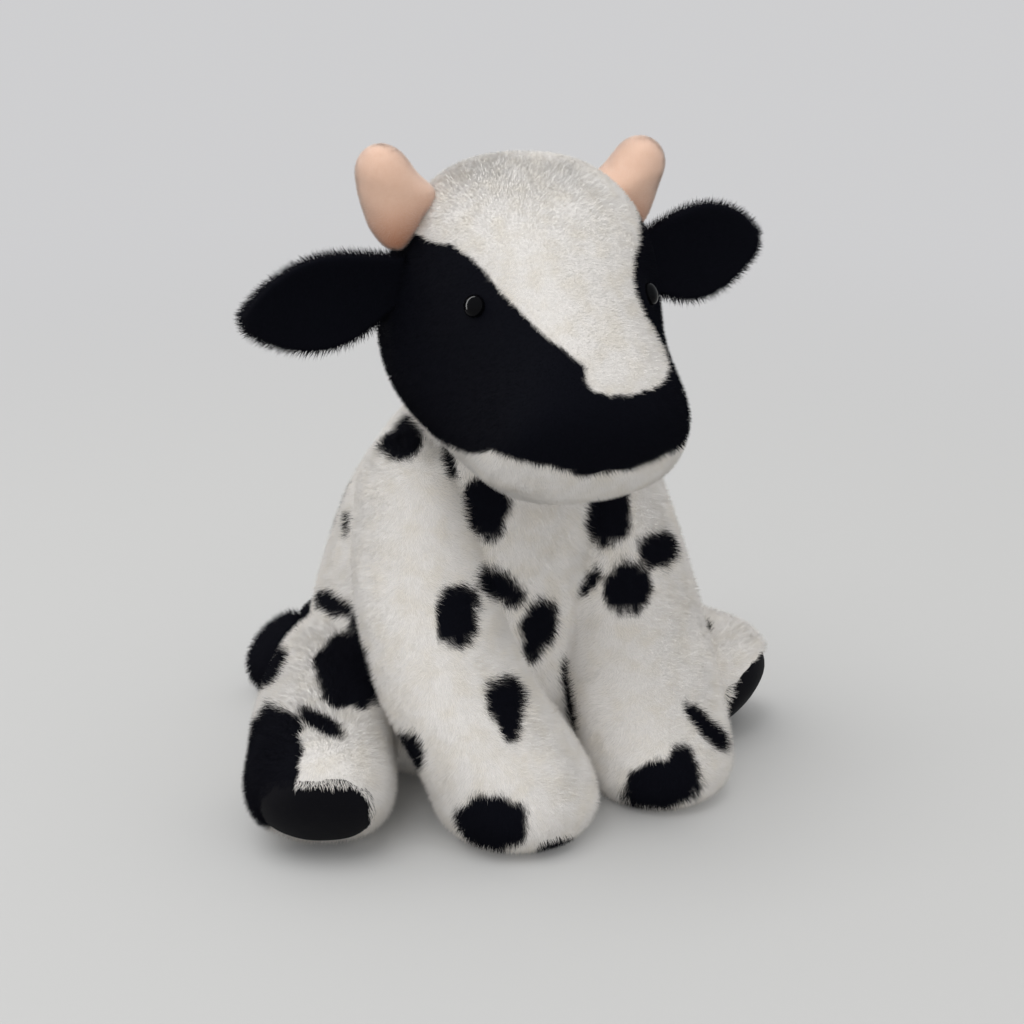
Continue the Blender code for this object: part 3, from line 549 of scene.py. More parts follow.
velour_high_tone = (0.77, 0.520, 0.395, 1.0)
# Partly the velour's own deeper tone and partly painted shade, where the horn is pinched into the head.
velour_root_tone_and_shade = (0.56, 0.235, 0.125, 1.0)
# Painted sheen: the fuzz's tips are paler, so the horns' rims, where tips crowd, look pale.
velour_tip_painted_sheen = (0.88, 0.70, 0.61, 1.0)
root_tone_and_shade_top = 0.60
root_tone_and_shade_length = 0.42
root_tone_and_shade_power = 1.3
horn_buried_depth = 0.0005
horn_pile_swirl = 1.2
hair_sides = 3
hair_points = hair_sides + 1
hair_stray = 0.26
hair_lean_shares = (0.45, 1.35)
hair_growths = (0.78, 1.14)
least_pile = 0.03
roots_per_square = 4.0
lay_swirl_scale = 70.0
lay_curl_scale = 260.0
lay_curl_share = 0.6
lay_seed = 7
cloth_light_share = 0.92
dye_raggedness = 0.5
dye_contrast = 2.0
swatch_margin = 0.15
swatch_column = 0.35
swatch_foot = 0.2
swatch_height = 0.6
nearly_nothing = 1e-9


def add_node(tree, kind, settings=None, **values):
    """A node with its settings, and with values or other nodes' sockets on its inputs."""
    node = tree.nodes.new(kind)
    for setting, value in (settings or {}).items():
        setattr(node, setting, value)
    set_inputs(tree, node, **values)
    return node


def object_place(tree):
    """Where a shaded point lies on its object."""
    return add_node(tree, "ShaderNodeTexCoord").outputs["Object"]


def read_label(tree, label):
    """What the shaded point's mesh carries under a label."""
    return add_node(tree, "ShaderNodeAttribute", {"attribute_name": label}).outputs["Fac"]


def mixed_colour(tree, share, first, second):
    """Two colours, or sockets, mixed by a share of the second."""
    return add_node(tree, "ShaderNodeMix", {"data_type": "RGBA"}, i0=share, i6=first, i7=second).outputs[2]


def calculated(tree, operation, first, second):
    """Two numbers, or sockets, joined by an operation."""
    return add_node(tree, "ShaderNodeMath", {"operation": operation}, i0=first, i1=second).outputs[0]


def give(item, name, kind, values):
    """Store values at the points of an object's mesh, under a name."""
    attribute = item.data.attributes.get(name) or item.data.attributes.new(name, kind, "POINT")
    field = "vector" if kind == "FLOAT_VECTOR" else "value"
    attribute.data.foreach_set(field, np.asarray(values, np.float32).ravel())


def read_back(item, name):
    """The numbers that the points of an object's mesh carry under a name."""
    values = np.empty(len(item.data.vertices), np.float32)
    item.data.attributes[name].data.foreach_get("value", values)
    return values


def clear_of(points, trees, depth):
    """1 where a point of a form shows, and 0 where it lies deeper than depth inside another form."""
    shown = np.ones(len(points))
    for tree in trees:
        for index, point in enumerate(points):
            near, normal = tree.find_nearest(Vector(point))[:2]
            if (Vector(point) - near).dot(normal) < -depth:
                shown[index] = 0.0
    return shown


# Without a seed of its own, the noise that swirls the pile would take one from the clock at each run.
noise.seed_set(lay_seed)


def lay_of(item, heading, swirl):
    """Which way the pile lies at each point: along its heading, with a swirl, in the plane of the cloth."""
    normals = normals_of(item)
    places = [Vector(point) for point in points_of(item)]
    turns = np.array([noise.noise_vector(place * lay_swirl_scale)
                      + lay_curl_share * noise.noise_vector(place * lay_curl_scale) for place in places])
    lay = heading + turns * swirl
    lay -= normals * (lay * normals).sum(1)[:, None]
    return lay / (np.linalg.norm(lay, axis=1)[:, None] + nearly_nothing)


def pile_nodes():
    """The Geometry Nodes tree that sows upright, tapered hairs over a cloth, each dyed like its root."""
    tree = bpy.data.node_groups.new("sow_pile", "GeometryNodeTree")
    sockets = (("Cloth", "Geometry"), ("Spacing", "Float"), ("Length", "Float"), ("Width", "Float"),
               ("Lean", "Float"), ("Seed", "Int"), ("Finish", "Material"))
    for label, kind in sockets:
        tree.interface.new_socket(label, in_out="INPUT", socket_type="NodeSocket" + kind)
    tree.interface.new_socket("Hairs", in_out="OUTPUT", socket_type="NodeSocketGeometry")
    given = tree.nodes.new("NodeGroupInput").outputs

    def stored(label, kind="FLOAT"):
        """What each point carries under a label."""
        return add_node(tree, "GeometryNodeInputNamedAttribute", {"data_type": kind}, Name=label).outputs[0]

    def store(geometry, label, value, kind="FLOAT"):
        """Let each point carry a value under a label."""
        return add_node(tree, "GeometryNodeStoreNamedAttribute", {"data_type": kind, "domain": "POINT"},
                        Geometry=geometry, Name=label, Value=value).outputs[0]

    def chance(low, high, seed):
        """A random number for each hair."""
        made = add_node(tree, "FunctionNodeRandomValue", {"data_type": "FLOAT"}, Seed=seed, i2=low, i3=high)
        return made.outputs[1]

    def chance_vector(size, seed):
        """A random vector for each hair, within size each way."""
        made = add_node(tree, "FunctionNodeRandomValue", {"data_type": "FLOAT_VECTOR"}, Seed=seed,
                        i0=(-size,) * 3, i1=(size,) * 3)
        return made.outputs[0]

    def over(value, limit):
        """Whether a value is over a limit."""
        return add_node(tree, "FunctionNodeCompare", {"data_type": "FLOAT", "operation": "GREATER_THAN"},
                        i0=value, i1=limit).outputs[0]

    def added(first, second):
        """Two vectors added."""
        return add_node(tree, "ShaderNodeVectorMath", {"operation": "ADD"}, i0=first, i1=second).outputs[0]

    grows = add_node(tree, "FunctionNodeBooleanMath", {"operation": "AND"},
                     i0=over(stored("pile"), least_pile), i1=over(stored("here"), 0.5)).outputs[0]
    square = calculated(tree, "MULTIPLY", given["Spacing"], given["Spacing"])
    crowd = calculated(tree, "DIVIDE", roots_per_square, square)
    roots = add_node(tree, "GeometryNodeDistributePointsOnFaces", {"distribute_method": "POISSON"},
                     Mesh=given["Cloth"], Selection=grows, Distance_Min=given["Spacing"], Density_Max=crowd,
                     Density_Factor=1.0, Seed=given["Seed"]).outputs
    kept = store(roots["Points"], "cloth_normal", roots["Normal"], "FLOAT_VECTOR")
    shaded = store(kept, "shade", chance(0.0, 1.0, 11))
    lean_now = calculated(tree, "MULTIPLY", given["Lean"], chance(*hair_lean_shares, 14))
    leaning = add_node(tree, "ShaderNodeVectorMath", {"operation": "SCALE"},
                       i0=stored("lay", "FLOAT_VECTOR"), Scale=lean_now).outputs[0]
    rising = added(stored("cloth_normal", "FLOAT_VECTOR"), leaning)
    turned = add_node(tree, "FunctionNodeAxesToRotation", {"primary_axis": "Z", "secondary_axis": "Y"},
                      i0=added(rising, chance_vector(hair_stray, 12)), i1=chance_vector(1.0, 15)).outputs[0]
    grown = calculated(tree, "MULTIPLY", given["Length"], chance(*hair_growths, 13))
    length = calculated(tree, "MULTIPLY", grown, stored("pile"))
    size = add_node(tree, "ShaderNodeCombineXYZ", X=given["Width"], Y=given["Width"], Z=length).outputs[0]
    spike = add_node(tree, "GeometryNodeMeshCone", {"fill_type": "NONE"}, Vertices=hair_sides,
                     Radius_Bottom=0.5, Radius_Top=0.0, Depth=1.0).outputs["Mesh"]
    spot = add_node(tree, "GeometryNodeInputPosition").outputs[0]
    height = add_node(tree, "ShaderNodeSeparateXYZ", i0=spot).outputs["Z"]
    spike = store(spike, "along", height)
    sown = add_node(tree, "GeometryNodeInstanceOnPoints", Points=shaded, Instance=spike, Rotation=turned,
                    Scale=size).outputs[0]
    real = add_node(tree, "GeometryNodeRealizeInstances", Geometry=sown).outputs[0]
    dyed = add_node(tree, "GeometryNodeSetMaterial", Geometry=real, Material=given["Finish"]).outputs[0]
    tree.links.new(dyed, tree.nodes.new("NodeGroupOutput").inputs["Hairs"])
    return tree


sow_pile = pile_nodes()


def grow_pile(cloth, name, finish, spacing, length, width, lean=0.5, seed=1, chosen=None):
    """Hairs over a cloth piece or its chosen faces, in one mesh that takes the light as the cloth does."""
    if chosen is None:
        chosen = np.ones(len(cloth.data.polygons))
    here = cloth.data.attributes.new("here", "FLOAT", "FACE")
    here.data.foreach_set("value", chosen.astype(np.float32))
    sowing = cloth.modifiers.new("pile", "NODES")
    sowing.node_group = sow_pile
    values = {"Spacing": spacing, "Length": length, "Width": width, "Lean": lean, "Seed": seed,
              "Finish": finish}
    for socket in sow_pile.interface.items_tree:
        if socket.item_type == "SOCKET" and socket.name in values:
            sowing[socket.identifier] = values[socket.name]
    made = plain_copy(cloth, name)
    cloth.modifiers.remove(sowing)
    cloth.data.attributes.remove(cloth.data.attributes["here"])
    mesh = made.data
    count = len(mesh.vertices) // hair_points
    assert count * hair_points == len(mesh.vertices), "a hair has lost a point"

    # Each hair has a swatch of its own in a sheet that its colours can be baked to.
    corner_points = np.empty(len(mesh.loops), int)
    mesh.loops.foreach_get("vertex_index", corner_points)
    cells = math.ceil(math.sqrt(count))
    hair = corner_points // hair_points
    sidelong = swatch_margin + swatch_column * (corner_points % hair_points % hair_sides)
    upward = swatch_foot + swatch_height * read_back(made, "along")[corner_points]
    swatches = np.stack([(hair % cells + sidelong) / cells, (hair // cells + upward) / cells], 1)
    mesh.uv_layers.new(name="OFBake").data.foreach_set("uv", swatches.astype(np.float32).ravel())

    cloth_normals = np.empty(len(mesh.vertices) * 3, np.float32)
    mesh.attributes["cloth_normal"].data.foreach_get("vector", cloth_normals)
    soft = cloth_normals.reshape(-1, 3) * cloth_light_share + normals_of(made) * (1.0 - cloth_light_share)
    soft /= np.linalg.norm(soft, axis=1)[:, None] + nearly_nothing
    move_points(made, points_of(made), table_lift)
    mesh.shade_smooth()
    mesh.normals_split_custom_set_from_vertices(soft.tolist())
    if "dark" in mesh.attributes:
        ragged = (read_back(made, "shade") - 0.5) * dye_raggedness
        dark = (read_back(made, "dark") - 0.5 + ragged) * dye_contrast + 0.5
        give(made, "dark", "FLOAT", np.clip(dark, 0.0, 1.0))
    for spent in ("cloth_normal", "lay", "pile", "here"):
        if spent in mesh.attributes:
            mesh.attributes.remove(mesh.attributes[spent])
    made.visible_shadow = False
    made.visible_diffuse = False
    return made


velour = new_finish("peach_velour", Roughness=velour_roughness, Sheen_Weight=velour_sheen,
                    Specular_IOR_Level=velour_shine)
tree = velour.node_tree
grain = add_node(tree, "ShaderNodeTexNoise", Vector=object_place(tree), Scale=velour_grain_scale)
tone = mixed_colour(tree, grain.outputs["Fac"], velour_low_tone, velour_high_tone)
# Painted shade, partly the velour's own deeper tone, darkens the colour towards the root.
tone = mixed_colour(tree, read_label(tree, "rooted"), tone, velour_root_tone_and_shade)
# Painted sheen: the fuzz pales towards its tips.
tone = mixed_colour(tree, read_label(tree, "along"), tone, velour_tip_painted_sheen)
set_surface(velour, Base_Color=tone)
lean = math.radians(horn_lean_deg)
horn_cloths = {}
for side_name, side in sides.items():
    up = np.array((side * math.sin(lean), 0.0, math.cos(lean)))
    outwards = np.array((side, 0.0, 0.0))
    root = np.array((side * horn_spreads[side_name], horn_setback, horn_rise))
    twist = math.radians(horn_twist_degs[side_name])
    width_dir = unit((math.cos(twist), math.sin(twist), 0.0))
    depth_dir = unit(np.cross(up, width_dir))
    middles = [root + up * row[0] * horn_length + outwards * row[1] for row in horn_rows]
    rings = [in_world(oval_ring(middle, width_dir, depth_dir, row[2], row[3], horn_sides))
             for middle, row in list(zip(middles, horn_rows))[1:-1]]
    horn = stuffed_form(side_name + "_horn_cloth", rings, in_world([middles[0], middles[-1]]), levels=3,
                        lump_height=horn_lump_height)
    horn.data.materials.append(velour)
    horn_cloths[side_name] = horn
    give(horn, "pile", "FLOAT", clear_of(points_of(horn), [head_tree], horn_buried_depth))
    give(horn, "lay", "FLOAT_VECTOR", lay_of(horn, up, horn_pile_swirl))
    place = (in_head(points_of(horn)) - root) @ up / horn_length
    depth = np.clip((root_tone_and_shade_top - place) / root_tone_and_shade_length, 0.0, 1.0)
    give(horn, "rooted", "FLOAT", depth ** root_tone_and_shade_power)
    fuzz = grow_pile(horn, side_name + "_horn_fuzz", velour, spacing=0.00030, length=0.0011, width=0.00018,
                     lean=0.4, seed=31)
    for piece in (horn, fuzz):
        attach(piece, "head")
    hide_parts(side_name + "_horn_skin", side_name + "_horn_stuffing")


# Ears
# Two leaf-shaped ears, each of two layers of the black fabric sewn along the rim, cupped and drooping.
# The pile is short inside them and fringes their rims.
ear_root_spread = 0.0460
ear_root_setback = 0.0060
ear_root_rise = 0.0085
ear_sweep_deg = 11.0
ear_droop_degs = {"right": 17.0, "left": -2.0}
ear_roll_degs = {"right": 12.0, "left": 0.0}
ear_lengths = {"right": 0.0645, "left": 0.0690}
ear_half_width = 0.0195
ear_half_thickness = 0.0034
ear_rim_thinning = 0.60
ear_cup_share = 0.22
ear_columns = 9
ear_rows = (
    # place, half width
    (0.00, 0.42), (0.10, 0.48), (0.28, 0.80), (0.46, 1.00), (0.64, 0.96), (0.80, 0.74), (0.93, 0.42),
    (1.00, 0.14),
)
ear_seam_place = 0.004
ear_seam_length = 0.010
ear_buried_depth = 0.0008
ear_face_shortening = 0.5
ear_face_power = 3
ear_pile_swirl = 0.8
fur_roughness = 0.85
fur_shine = 0.02
mottle_scale = 130.0
mottle_detail = 3.0
mottle_start = 0.42
mottle_end = 0.68
white_dye = (0.970, 0.935, 0.895, 1.0)
cream_dye = (0.915, 0.865, 0.790, 1.0)
black_dye = (0.0056, 0.0060, 0.0095, 1.0)
# Painted shade: hairs darken towards their roots, and the cloth between them is darker still, as the pile's
# own shade.
hair_root_painted_shade = 0.88
cloth_painted_shade = 0.74
least_hair_shade = 0.955
weave_scale = 900.0
weave_depth = 0.0003


def add_relief(finish, scale, depth, strength=1.0):
    """Give a material's surface a fine grain in relief."""
    tree = finish.node_tree
    grain = add_node(tree, "ShaderNodeTexNoise", Vector=object_place(tree), Scale=scale).outputs["Fac"]
    relief = add_node(tree, "ShaderNodeBump", Height=grain, Distance=depth, Strength=strength)
    set_surface(finish, Normal=relief.outputs["Normal"])


def fur_finish(name, painted_root_shade):
    """Fur fabric: white mottled with cream, or dark where the cloth is; painted shade deepens at the hairs'
    roots.
    """
    finish = new_finish(name, Roughness=fur_roughness, Sheen_Weight=0.0, Specular_IOR_Level=fur_shine)
    tree = finish.node_tree
    mottle = add_node(tree, "ShaderNodeTexNoise", Vector=object_place(tree), Scale=mottle_scale,
                      Detail=mottle_detail).outputs["Fac"]
    creamy = add_node(tree, "ShaderNodeMapRange", Value=mottle, From_Min=mottle_start, From_Max=mottle_end)
    pale = mixed_colour(tree, creamy.outputs[0], white_dye, cream_dye)
    dye = mixed_colour(tree, read_label(tree, "dark"), pale, black_dye)
    # Painted shade: each hair's tone falls from tip to root, down to painted_root_shade, which the cloth
    # takes all over.
    tones = [add_node(tree, "ShaderNodeMapRange", Value=read_label(tree, label), To_Min=least).outputs[0]
             for label, least in (("along", painted_root_shade), ("shade", least_hair_shade))]
    tone = calculated(tree, "MULTIPLY", *tones)
    dyed = add_node(tree, "ShaderNodeVectorMath", {"operation": "SCALE"}, i0=dye, Scale=tone).outputs[0]
    set_surface(finish, Base_Color=dyed)
    return finish


def dress(cloth, dark, shown, heading, swirl):
    """Give a cloth piece its dye, its material, and the height and lay of the pile to be sown on it."""
    give(cloth, "dark", "FLOAT", dark)
    give(cloth, "pile", "FLOAT", shown)
    give(cloth, "lay", "FLOAT_VECTOR", lay_of(cloth, heading, swirl))
    cloth.data.materials.append(fur_cloth)


fur = fur_finish("spotted_fur", hair_root_painted_shade)
fur_cloth = fur_finish("spotted_fur_cloth", cloth_painted_shade)
add_relief(fur_cloth, weave_scale, weave_depth)
sweep = math.radians(ear_sweep_deg)
ears = {}
for side_name, side in sides.items():
    droop = math.radians(ear_droop_degs[side_name])
    roll = math.radians(ear_roll_degs[side_name])
    along = np.array((side * math.cos(sweep) * math.cos(droop), math.sin(sweep) * math.cos(droop),
                      -math.sin(droop)))
    upright = unit(np.array((0.0, 0.0, 1.0)) - along * along[2])
    facing = np.cross(along, upright) * side
    across = upright * math.cos(roll) + facing * math.sin(roll)
    front = facing * math.cos(roll) - upright * math.sin(roll)
    root = np.array((side * ear_root_spread, ear_root_setback, ear_root_rise))
    points = []
    for place, width in ear_rows:
        half = width * ear_half_width
        for column in range(ear_columns):
            offset = 2.0 * column / (ear_columns - 1) - 1.0
            middle = root + along * place * ear_lengths[side_name] + across * half * offset
            middle = middle + front * ear_cup_share * half * offset * offset
            thickness = ear_half_thickness * (1.0 - ear_rim_thinning * offset * offset)
            points += [middle + front * thickness, middle - front * thickness]
    faces = []
    last_row = len(ear_rows) - 1
    for row in range(last_row):
        for column in range(ear_columns - 1):
            for layer in (0, 1):
                here = 2 * (row * ear_columns + column) + layer
                faces.append((here, here + 2, here + 2 + 2 * ear_columns, here + 2 * ear_columns))
        for column in (0, ear_columns - 1):
            here = 2 * (row * ear_columns + column)
            faces.append((here, here + 2 * ear_columns, here + 2 * ear_columns + 1, here + 1))
    for row in (0, last_row):
        for column in range(ear_columns - 1):
            here = 2 * (row * ear_columns + column)
            faces.append((here, here + 2, here + 3, here + 1))
    ear = smooth_form(side_name + "_ear_cloth", in_world(points), faces, 3)
    ears[side_name] = ear
    centre = in_world([(0.0, 0.0, 0.0)])[0]
    world_along = in_world([along])[0] - centre
    flatness = np.abs(normals_of(ear) @ (in_world([front])[0] - centre))
    points = points_of(ear)
    shown = clear_of(points, [head_tree, tree_of(horn_cloths[side_name])], ear_buried_depth)
    shown *= 1.0 - ear_face_shortening * flatness ** ear_face_power
    dress(ear, np.ones(len(points)), shown, world_along, ear_pile_swirl)
    hairs = grow_pile(ear, side_name + "_ear_pile", fur, spacing=0.00038, length=0.0044, width=0.00027,
                      lean=0.65, seed=41)
    start = in_world([root + along * ear_seam_place])[0]
    end = start + world_along * ear_seam_length
    for piece in (ear, hairs):
        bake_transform(piece)
    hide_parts(side_name + "_ear_front", side_name + "_ear_back")


# Tail
# A thin tube of black fabric, sewn on behind, curls round to the right and ends in a longer tuft.
# The tuft's tip lies on the table.
tail_side_reach = 0.0340
tail_root_setback = 0.0820
tail_back_reach = 0.0300
tail_root_height = 0.0500
tail_half_thickness = 0.0046
tail_sides = 12
tail_lump_height = 0.0003
tail_rows = (
    # side reach, back reach, height, thickness
    (-0.02, 0.00, 1.00, 0.0),
    (0.00, 0.06, 1.00, 0.85),
    (0.08, 0.38, 0.97, 1.0),
    (0.36, 0.80, 0.86, 1.0),
    (0.70, 0.98, 0.73, 1.0),
    (0.94, 1.00, 0.65, 0.9),
    (1.00, 1.00, 0.63, 0.0),
)
tail_heading = np.array((-0.9, 0.1, -0.4))
tail_buried_depth = 0.0008
tail_pile_swirl = 0.5
tuft_heading = unit((-0.56, 0.16, -0.84))
tuft_length = 0.0335
tuft_half_thickness = 0.0108
tuft_sides = 14
tuft_lump_height = 0.0004
tuft_rows = (
    # place, thickness
    (0.00, 0.00), (0.02, 0.48), (0.16, 0.74), (0.42, 1.02), (0.70, 1.00), (0.90, 0.68), (0.98, 0.34),
    (1.00, 0.00),
)
rows = [(-side * tail_side_reach, tail_root_setback + back * tail_back_reach - seat_setback,
         height * tail_root_height, thickness * tail_half_thickness, thickness * tail_half_thickness)
        for side, back, height, thickness in tail_rows]
straight_up = np.array((0.0, 0.0, 1.0))
tail_cloth = stuffed_form("tail_cloth", *path_rings(rows, straight_up, tail_sides), levels=2,
                          lump_height=tail_lump_height)
tuft_start = np.array(rows[-1][:3])
rows = [(*(tuft_start + tuft_heading * place * tuft_length), share * tuft_half_thickness,
         share * tuft_half_thickness) for place, share in tuft_rows]
tuft_cloth = stuffed_form("tuft_cloth", *path_rings(rows, straight_up, tuft_sides), levels=2,
                          lump_height=tuft_lump_height)
tail_pieces = (
    # cloth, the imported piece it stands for, fill, pile length, heading of the pile
    (tail_cloth, "tail", 0.6, 0.0020, tail_heading),
    (tuft_cloth, "tail_tuft", 0.5, 0.0048, tuft_heading),
)
for cloth, replaced, fill, length, heading in tail_pieces:
    points = points_of(cloth)
    shown = clear_of(points, [torso_tree], tail_buried_depth)
    dress(cloth, np.ones(len(points)), shown, heading, tail_pile_swirl)
    hairs = grow_pile(cloth, replaced + "_pile", fur, spacing=0.00044, length=length, width=0.00028, lean=0.8,
                      seed=51)
    for piece in (cloth, hairs):
        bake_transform(piece)
    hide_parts(replaced)


# Sole pads
# Flat pads of matte black suede cloth are sewn into the four feet, and the stuffing rounds them a little.
# The front ones lie on the table.
suede_black = (0.0046, 0.0046, 0.0064, 1.0)
suede_roughness = 0.95
suede_sheen = 0.03
suede_sheen_roughness = 0.4
suede_shine = 0.08
suede_grain_scale = 1400.0
suede_grain_depth = 0.0002
suede_grain_strength = 0.5
pad_fullness_power = 0.77
pad_sides = 40
pad_rings = (
    # share of the half size, height over the sole
    (0.0, 0.0016), (0.25, 0.0016), (0.5, 0.0015), (0.72, 0.0013), (0.88, 0.0010), (0.97, 0.0005),
    (1.0, -0.0004),
)
pad_rim_depth = 0.0015
pad_back_depth = 0.004
sole_search_height = 0.03
suede = new_finish("sole_suede", Base_Color=suede_black, Roughness=suede_roughness, Sheen_Weight=suede_sheen,
                   Sheen_Roughness=suede_sheen_roughness, Specular_IOR_Level=suede_shine)
add_relief(suede, suede_grain_scale, suede_grain_depth, suede_grain_strength)


def sole_pad(name, tree, centre, out, across, half_width, half_height):
    """A thin closed pad that follows the foot's sole, thickest in the middle and tucked in at its edge."""
    up = np.cross(out, across)

    def on_sole(share, angle, lift):
        """The pad's point at a share of its half size in the direction of an angle."""
        flat_cos = math.copysign(abs(math.cos(angle)) ** pad_fullness_power, math.cos(angle))
        flat_sin = math.copysign(abs(math.sin(angle)) ** pad_fullness_power, math.sin(angle))
        spot = centre + (across * half_width * flat_cos + up * half_height * flat_sin) * share
        hit = tree.ray_cast(Vector(spot + out * sole_search_height), Vector(-out))[0]
        if hit is None:
            hit = tree.find_nearest(Vector(spot))[0]
        return np.array(hit) + out * lift

    points = [on_sole(pad_rings[0][0], 0.0, pad_rings[0][1])]
    for share, lift in pad_rings[1:]:
        points += [on_sole(share, math.tau * step / pad_sides, lift) for step in range(pad_sides)]
    points += [point - out * pad_rim_depth for point in points[-pad_sides:]]
    points.append(points[0] - out * pad_back_depth)
    last = len(points) - 1
    faces = []
    for step in range(pad_sides):
        beside = (step + 1) % pad_sides
        faces.append((0, 1 + step, 1 + beside))
        faces.append((last, last - pad_sides + beside, last - pad_sides + step))
        for ring in range(len(pad_rings) - 1):
            here = 1 + ring * pad_sides
            faces.append((here + step, here + pad_sides + step, here + pad_sides + beside, here + beside))
    made = smooth_form(name, points, faces, 1)
    move_points(made, points_of(made), table_lift / 2)
    made.data.materials.append(suede)
    return made


pad_places = {}
for side_name in sides:
    name = side_name + "_front_leg"
    pad_places[name] = (front_soles[name], np.array((0.0, 0.0, -1.0)), np.array((1.0, 0.0, 0.0)),
                        front_sole_half_width, front_sole_half_length)
    name = side_name + "_hind_leg"
    path = hind_paths[name]
    out = unit(path[-1] - path[-3])
    across = unit(np.cross(out, (0.0, 0.0, 1.0)))
    pad_places[name] = (path[-1] + np.cross(out, across) * hind_sole_rise, out, across,
                        hind_sole_half_width, hind_sole_half_height)
for name, values in pad_places.items():
    pad = sole_pad(name + "_pad", leg_trees[name], *values)
    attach(pad, name)
    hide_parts(name + "_sole_pad")


# Fur of the torso, the legs and the head
# One fabric, dyed in navy-black spots on the torso and legs, its pile a few millimetres long.
# The head's pile is shorter, and pale and denser on the blaze and the chin.
body_pile_length = 0.0042
head_pile_length = 0.0027
seen_spots = (
    # pixel across, pixel down, half width, half height, tilt in degrees
    (404, 438, 20, 25, -15),
    (449, 461, 7, 19, 10),
    (485, 508, 23, 30, 8),
    (606, 512, 25, 32, 0),
    (657, 549, 20, 20, 0),
    (628, 588, 23, 28, -10),
    (590, 581, 8, 18, -40),
    (538, 622, 19, 26, -8),
    (531, 645, 10, 18, 0),
    (497, 585, 30, 16, -34),
    (455, 615, 21, 31, 0),
    (504, 698, 20, 22, 0),
    (508, 722, 10, 20, 12),
    (415, 748, 13, 22, 12),
    (492, 822, 34, 28, 0),
    (555, 842, 22, 6, 8),
    (570, 694, 8, 42, 12),
    (338, 520, 4, 13, 0),
    (334, 602, 28, 11, -18),
    (351, 669, 34, 40, 0),
    (364, 632, 12, 24, 15),
    (278, 668, 9, 23, -22),
    (705, 727, 9, 33, 42),
    (662, 784, 40, 25, 20),
    (680, 770, 14, 24, 0),
    (704, 628, 6, 5, 0),
    (266, 768, 33, 60, -8),
    (320, 723, 27, 8, -27),
)
unseen_spots = (
    # which way it faces, height, half width, half height, tilt in degrees
    (70.0, 0.120, 0.010, 0.012, 10.0),
    (84.0, 0.078, 0.012, 0.014, 0.0),
    (112.0, 0.108, 0.011, 0.010, 20.0),
    (128.0, 0.062, 0.013, 0.011, 0.0),
    (148.0, 0.128, 0.010, 0.008, -15.0),
    (166.0, 0.090, 0.014, 0.015, 0.0),
    (196.0, 0.122, 0.010, 0.012, 0.0),
    (212.0, 0.074, 0.012, 0.010, 15.0),
    (236.0, 0.104, 0.012, 0.013, 0.0),
    (250.0, 0.050, 0.010, 0.012, -10.0),
)
spot_depth_share = 2.2
spot_squareness = 2.4
spot_wobble = 0.20
spot_wobble_scale = 130.0
spot_fray = 0.10
spot_fray_scale = 420.0
spot_edge_width = 0.0026
spot_edge_shares = (0.08, 0.40)
far_out = 0.3
torso_buried_depth = 0.0015
leg_buried_depth = 0.0010
head_buried_depth = 0.0012
body_pile_swirl = 0.9
head_pile_swirl = 0.55
torso_spread_heading = 4.0
torso_half_edge = -0.004
pad_squareness = 2.6
pad_cover = 0.86
pad_reach = 0.02
foot_pile_height = 0.014
foot_pile_share = 0.5
hind_heading_rows = (2, 5)
hind_heading_drop = 0.5
head_heading_spread = 14.0
head_heading_back = -0.55
head_heading_down = -0.70
eye_clearing = 0.0006
eye_clearing_edge = 0.004


def tilted(side_dir, rise_dir, tilt_deg):
    """Two directions turned in their plane."""
    cos, sin = math.cos(math.radians(tilt_deg)), math.sin(math.radians(tilt_deg))
    return side_dir * cos + rise_dir * sin, rise_dir * cos - side_dir * sin


def first_hit(trees, start, heading):
    """Where a ray first meets one of the forms."""
    hits = [tree.ray_cast(start, heading) for tree in trees]
    hits = [(hit[3], hit[0]) for hit in hits if hit[0]]
    return min(hits, key=lambda hit: hit[0])[1] if hits else None


def seen_spot(trees, x, y, half_width, half_height, tilt_deg):
    """A spot's middle, directions and half sizes, on the form that the camera sees at pixel x, y."""
    heading = camera_right * (x - picture_side / 2) / focal_pixels
    heading = (heading - camera_up * (y - picture_side / 2) / focal_pixels - camera_back).normalized()
    middle = first_hit(trees, camera_eye, heading)
    if middle is None:
        middle = trees[0].find_nearest(camera_eye + heading * camera_distance)[0]
    depth = spot_depth_share * max(half_width, half_height)
    directions = np.array([*tilted(camera_right, camera_up, tilt_deg), camera_back])
    return np.array(middle), directions, np.array([half_width, half_height, depth]) * pixel_size


def hidden_spot(trees, turn_deg, height, half_width, half_height, tilt_deg):
    """A spot at a height on the side of the forms that faces turn_deg, which the camera may not see."""
    angle = math.radians(turn_deg)
    out = Vector((math.sin(angle), -math.cos(angle), 0.0))
    side_dir = Vector((math.cos(angle), math.sin(angle), 0.0))
    middle = first_hit(trees, Vector((0.0, 0.0, height)) + out * far_out, -out)
    depth = spot_depth_share * max(half_width, half_height)
    directions = np.array([*tilted(side_dir, Vector((0.0, 0.0, 1.0)), tilt_deg), out])
    return np.array(middle), directions, np.array([half_width, half_height, depth])


def darkness(points, spots):
    """How dark the cloth is at each point, from 0 to 1, with ragged edges round the spots."""
    wobble = np.array([spot_wobble * noise.noise(Vector(p) * spot_wobble_scale)
                       + spot_fray * noise.noise(Vector(p) * spot_fray_scale) for p in points])
    dark = np.zeros(len(points))
    for middle, directions, sizes in spots:
        local = np.abs((points - middle) @ directions.T / sizes)
        reach = np.power((local ** spot_squareness).sum(1), 1 / spot_squareness) + wobble
        softness = np.clip(spot_edge_width / sizes[:2].mean(), *spot_edge_shares)
        dark = np.maximum(dark, np.clip((1.0 - reach) / softness + 0.5, 0.0, 1.0))
    return dark


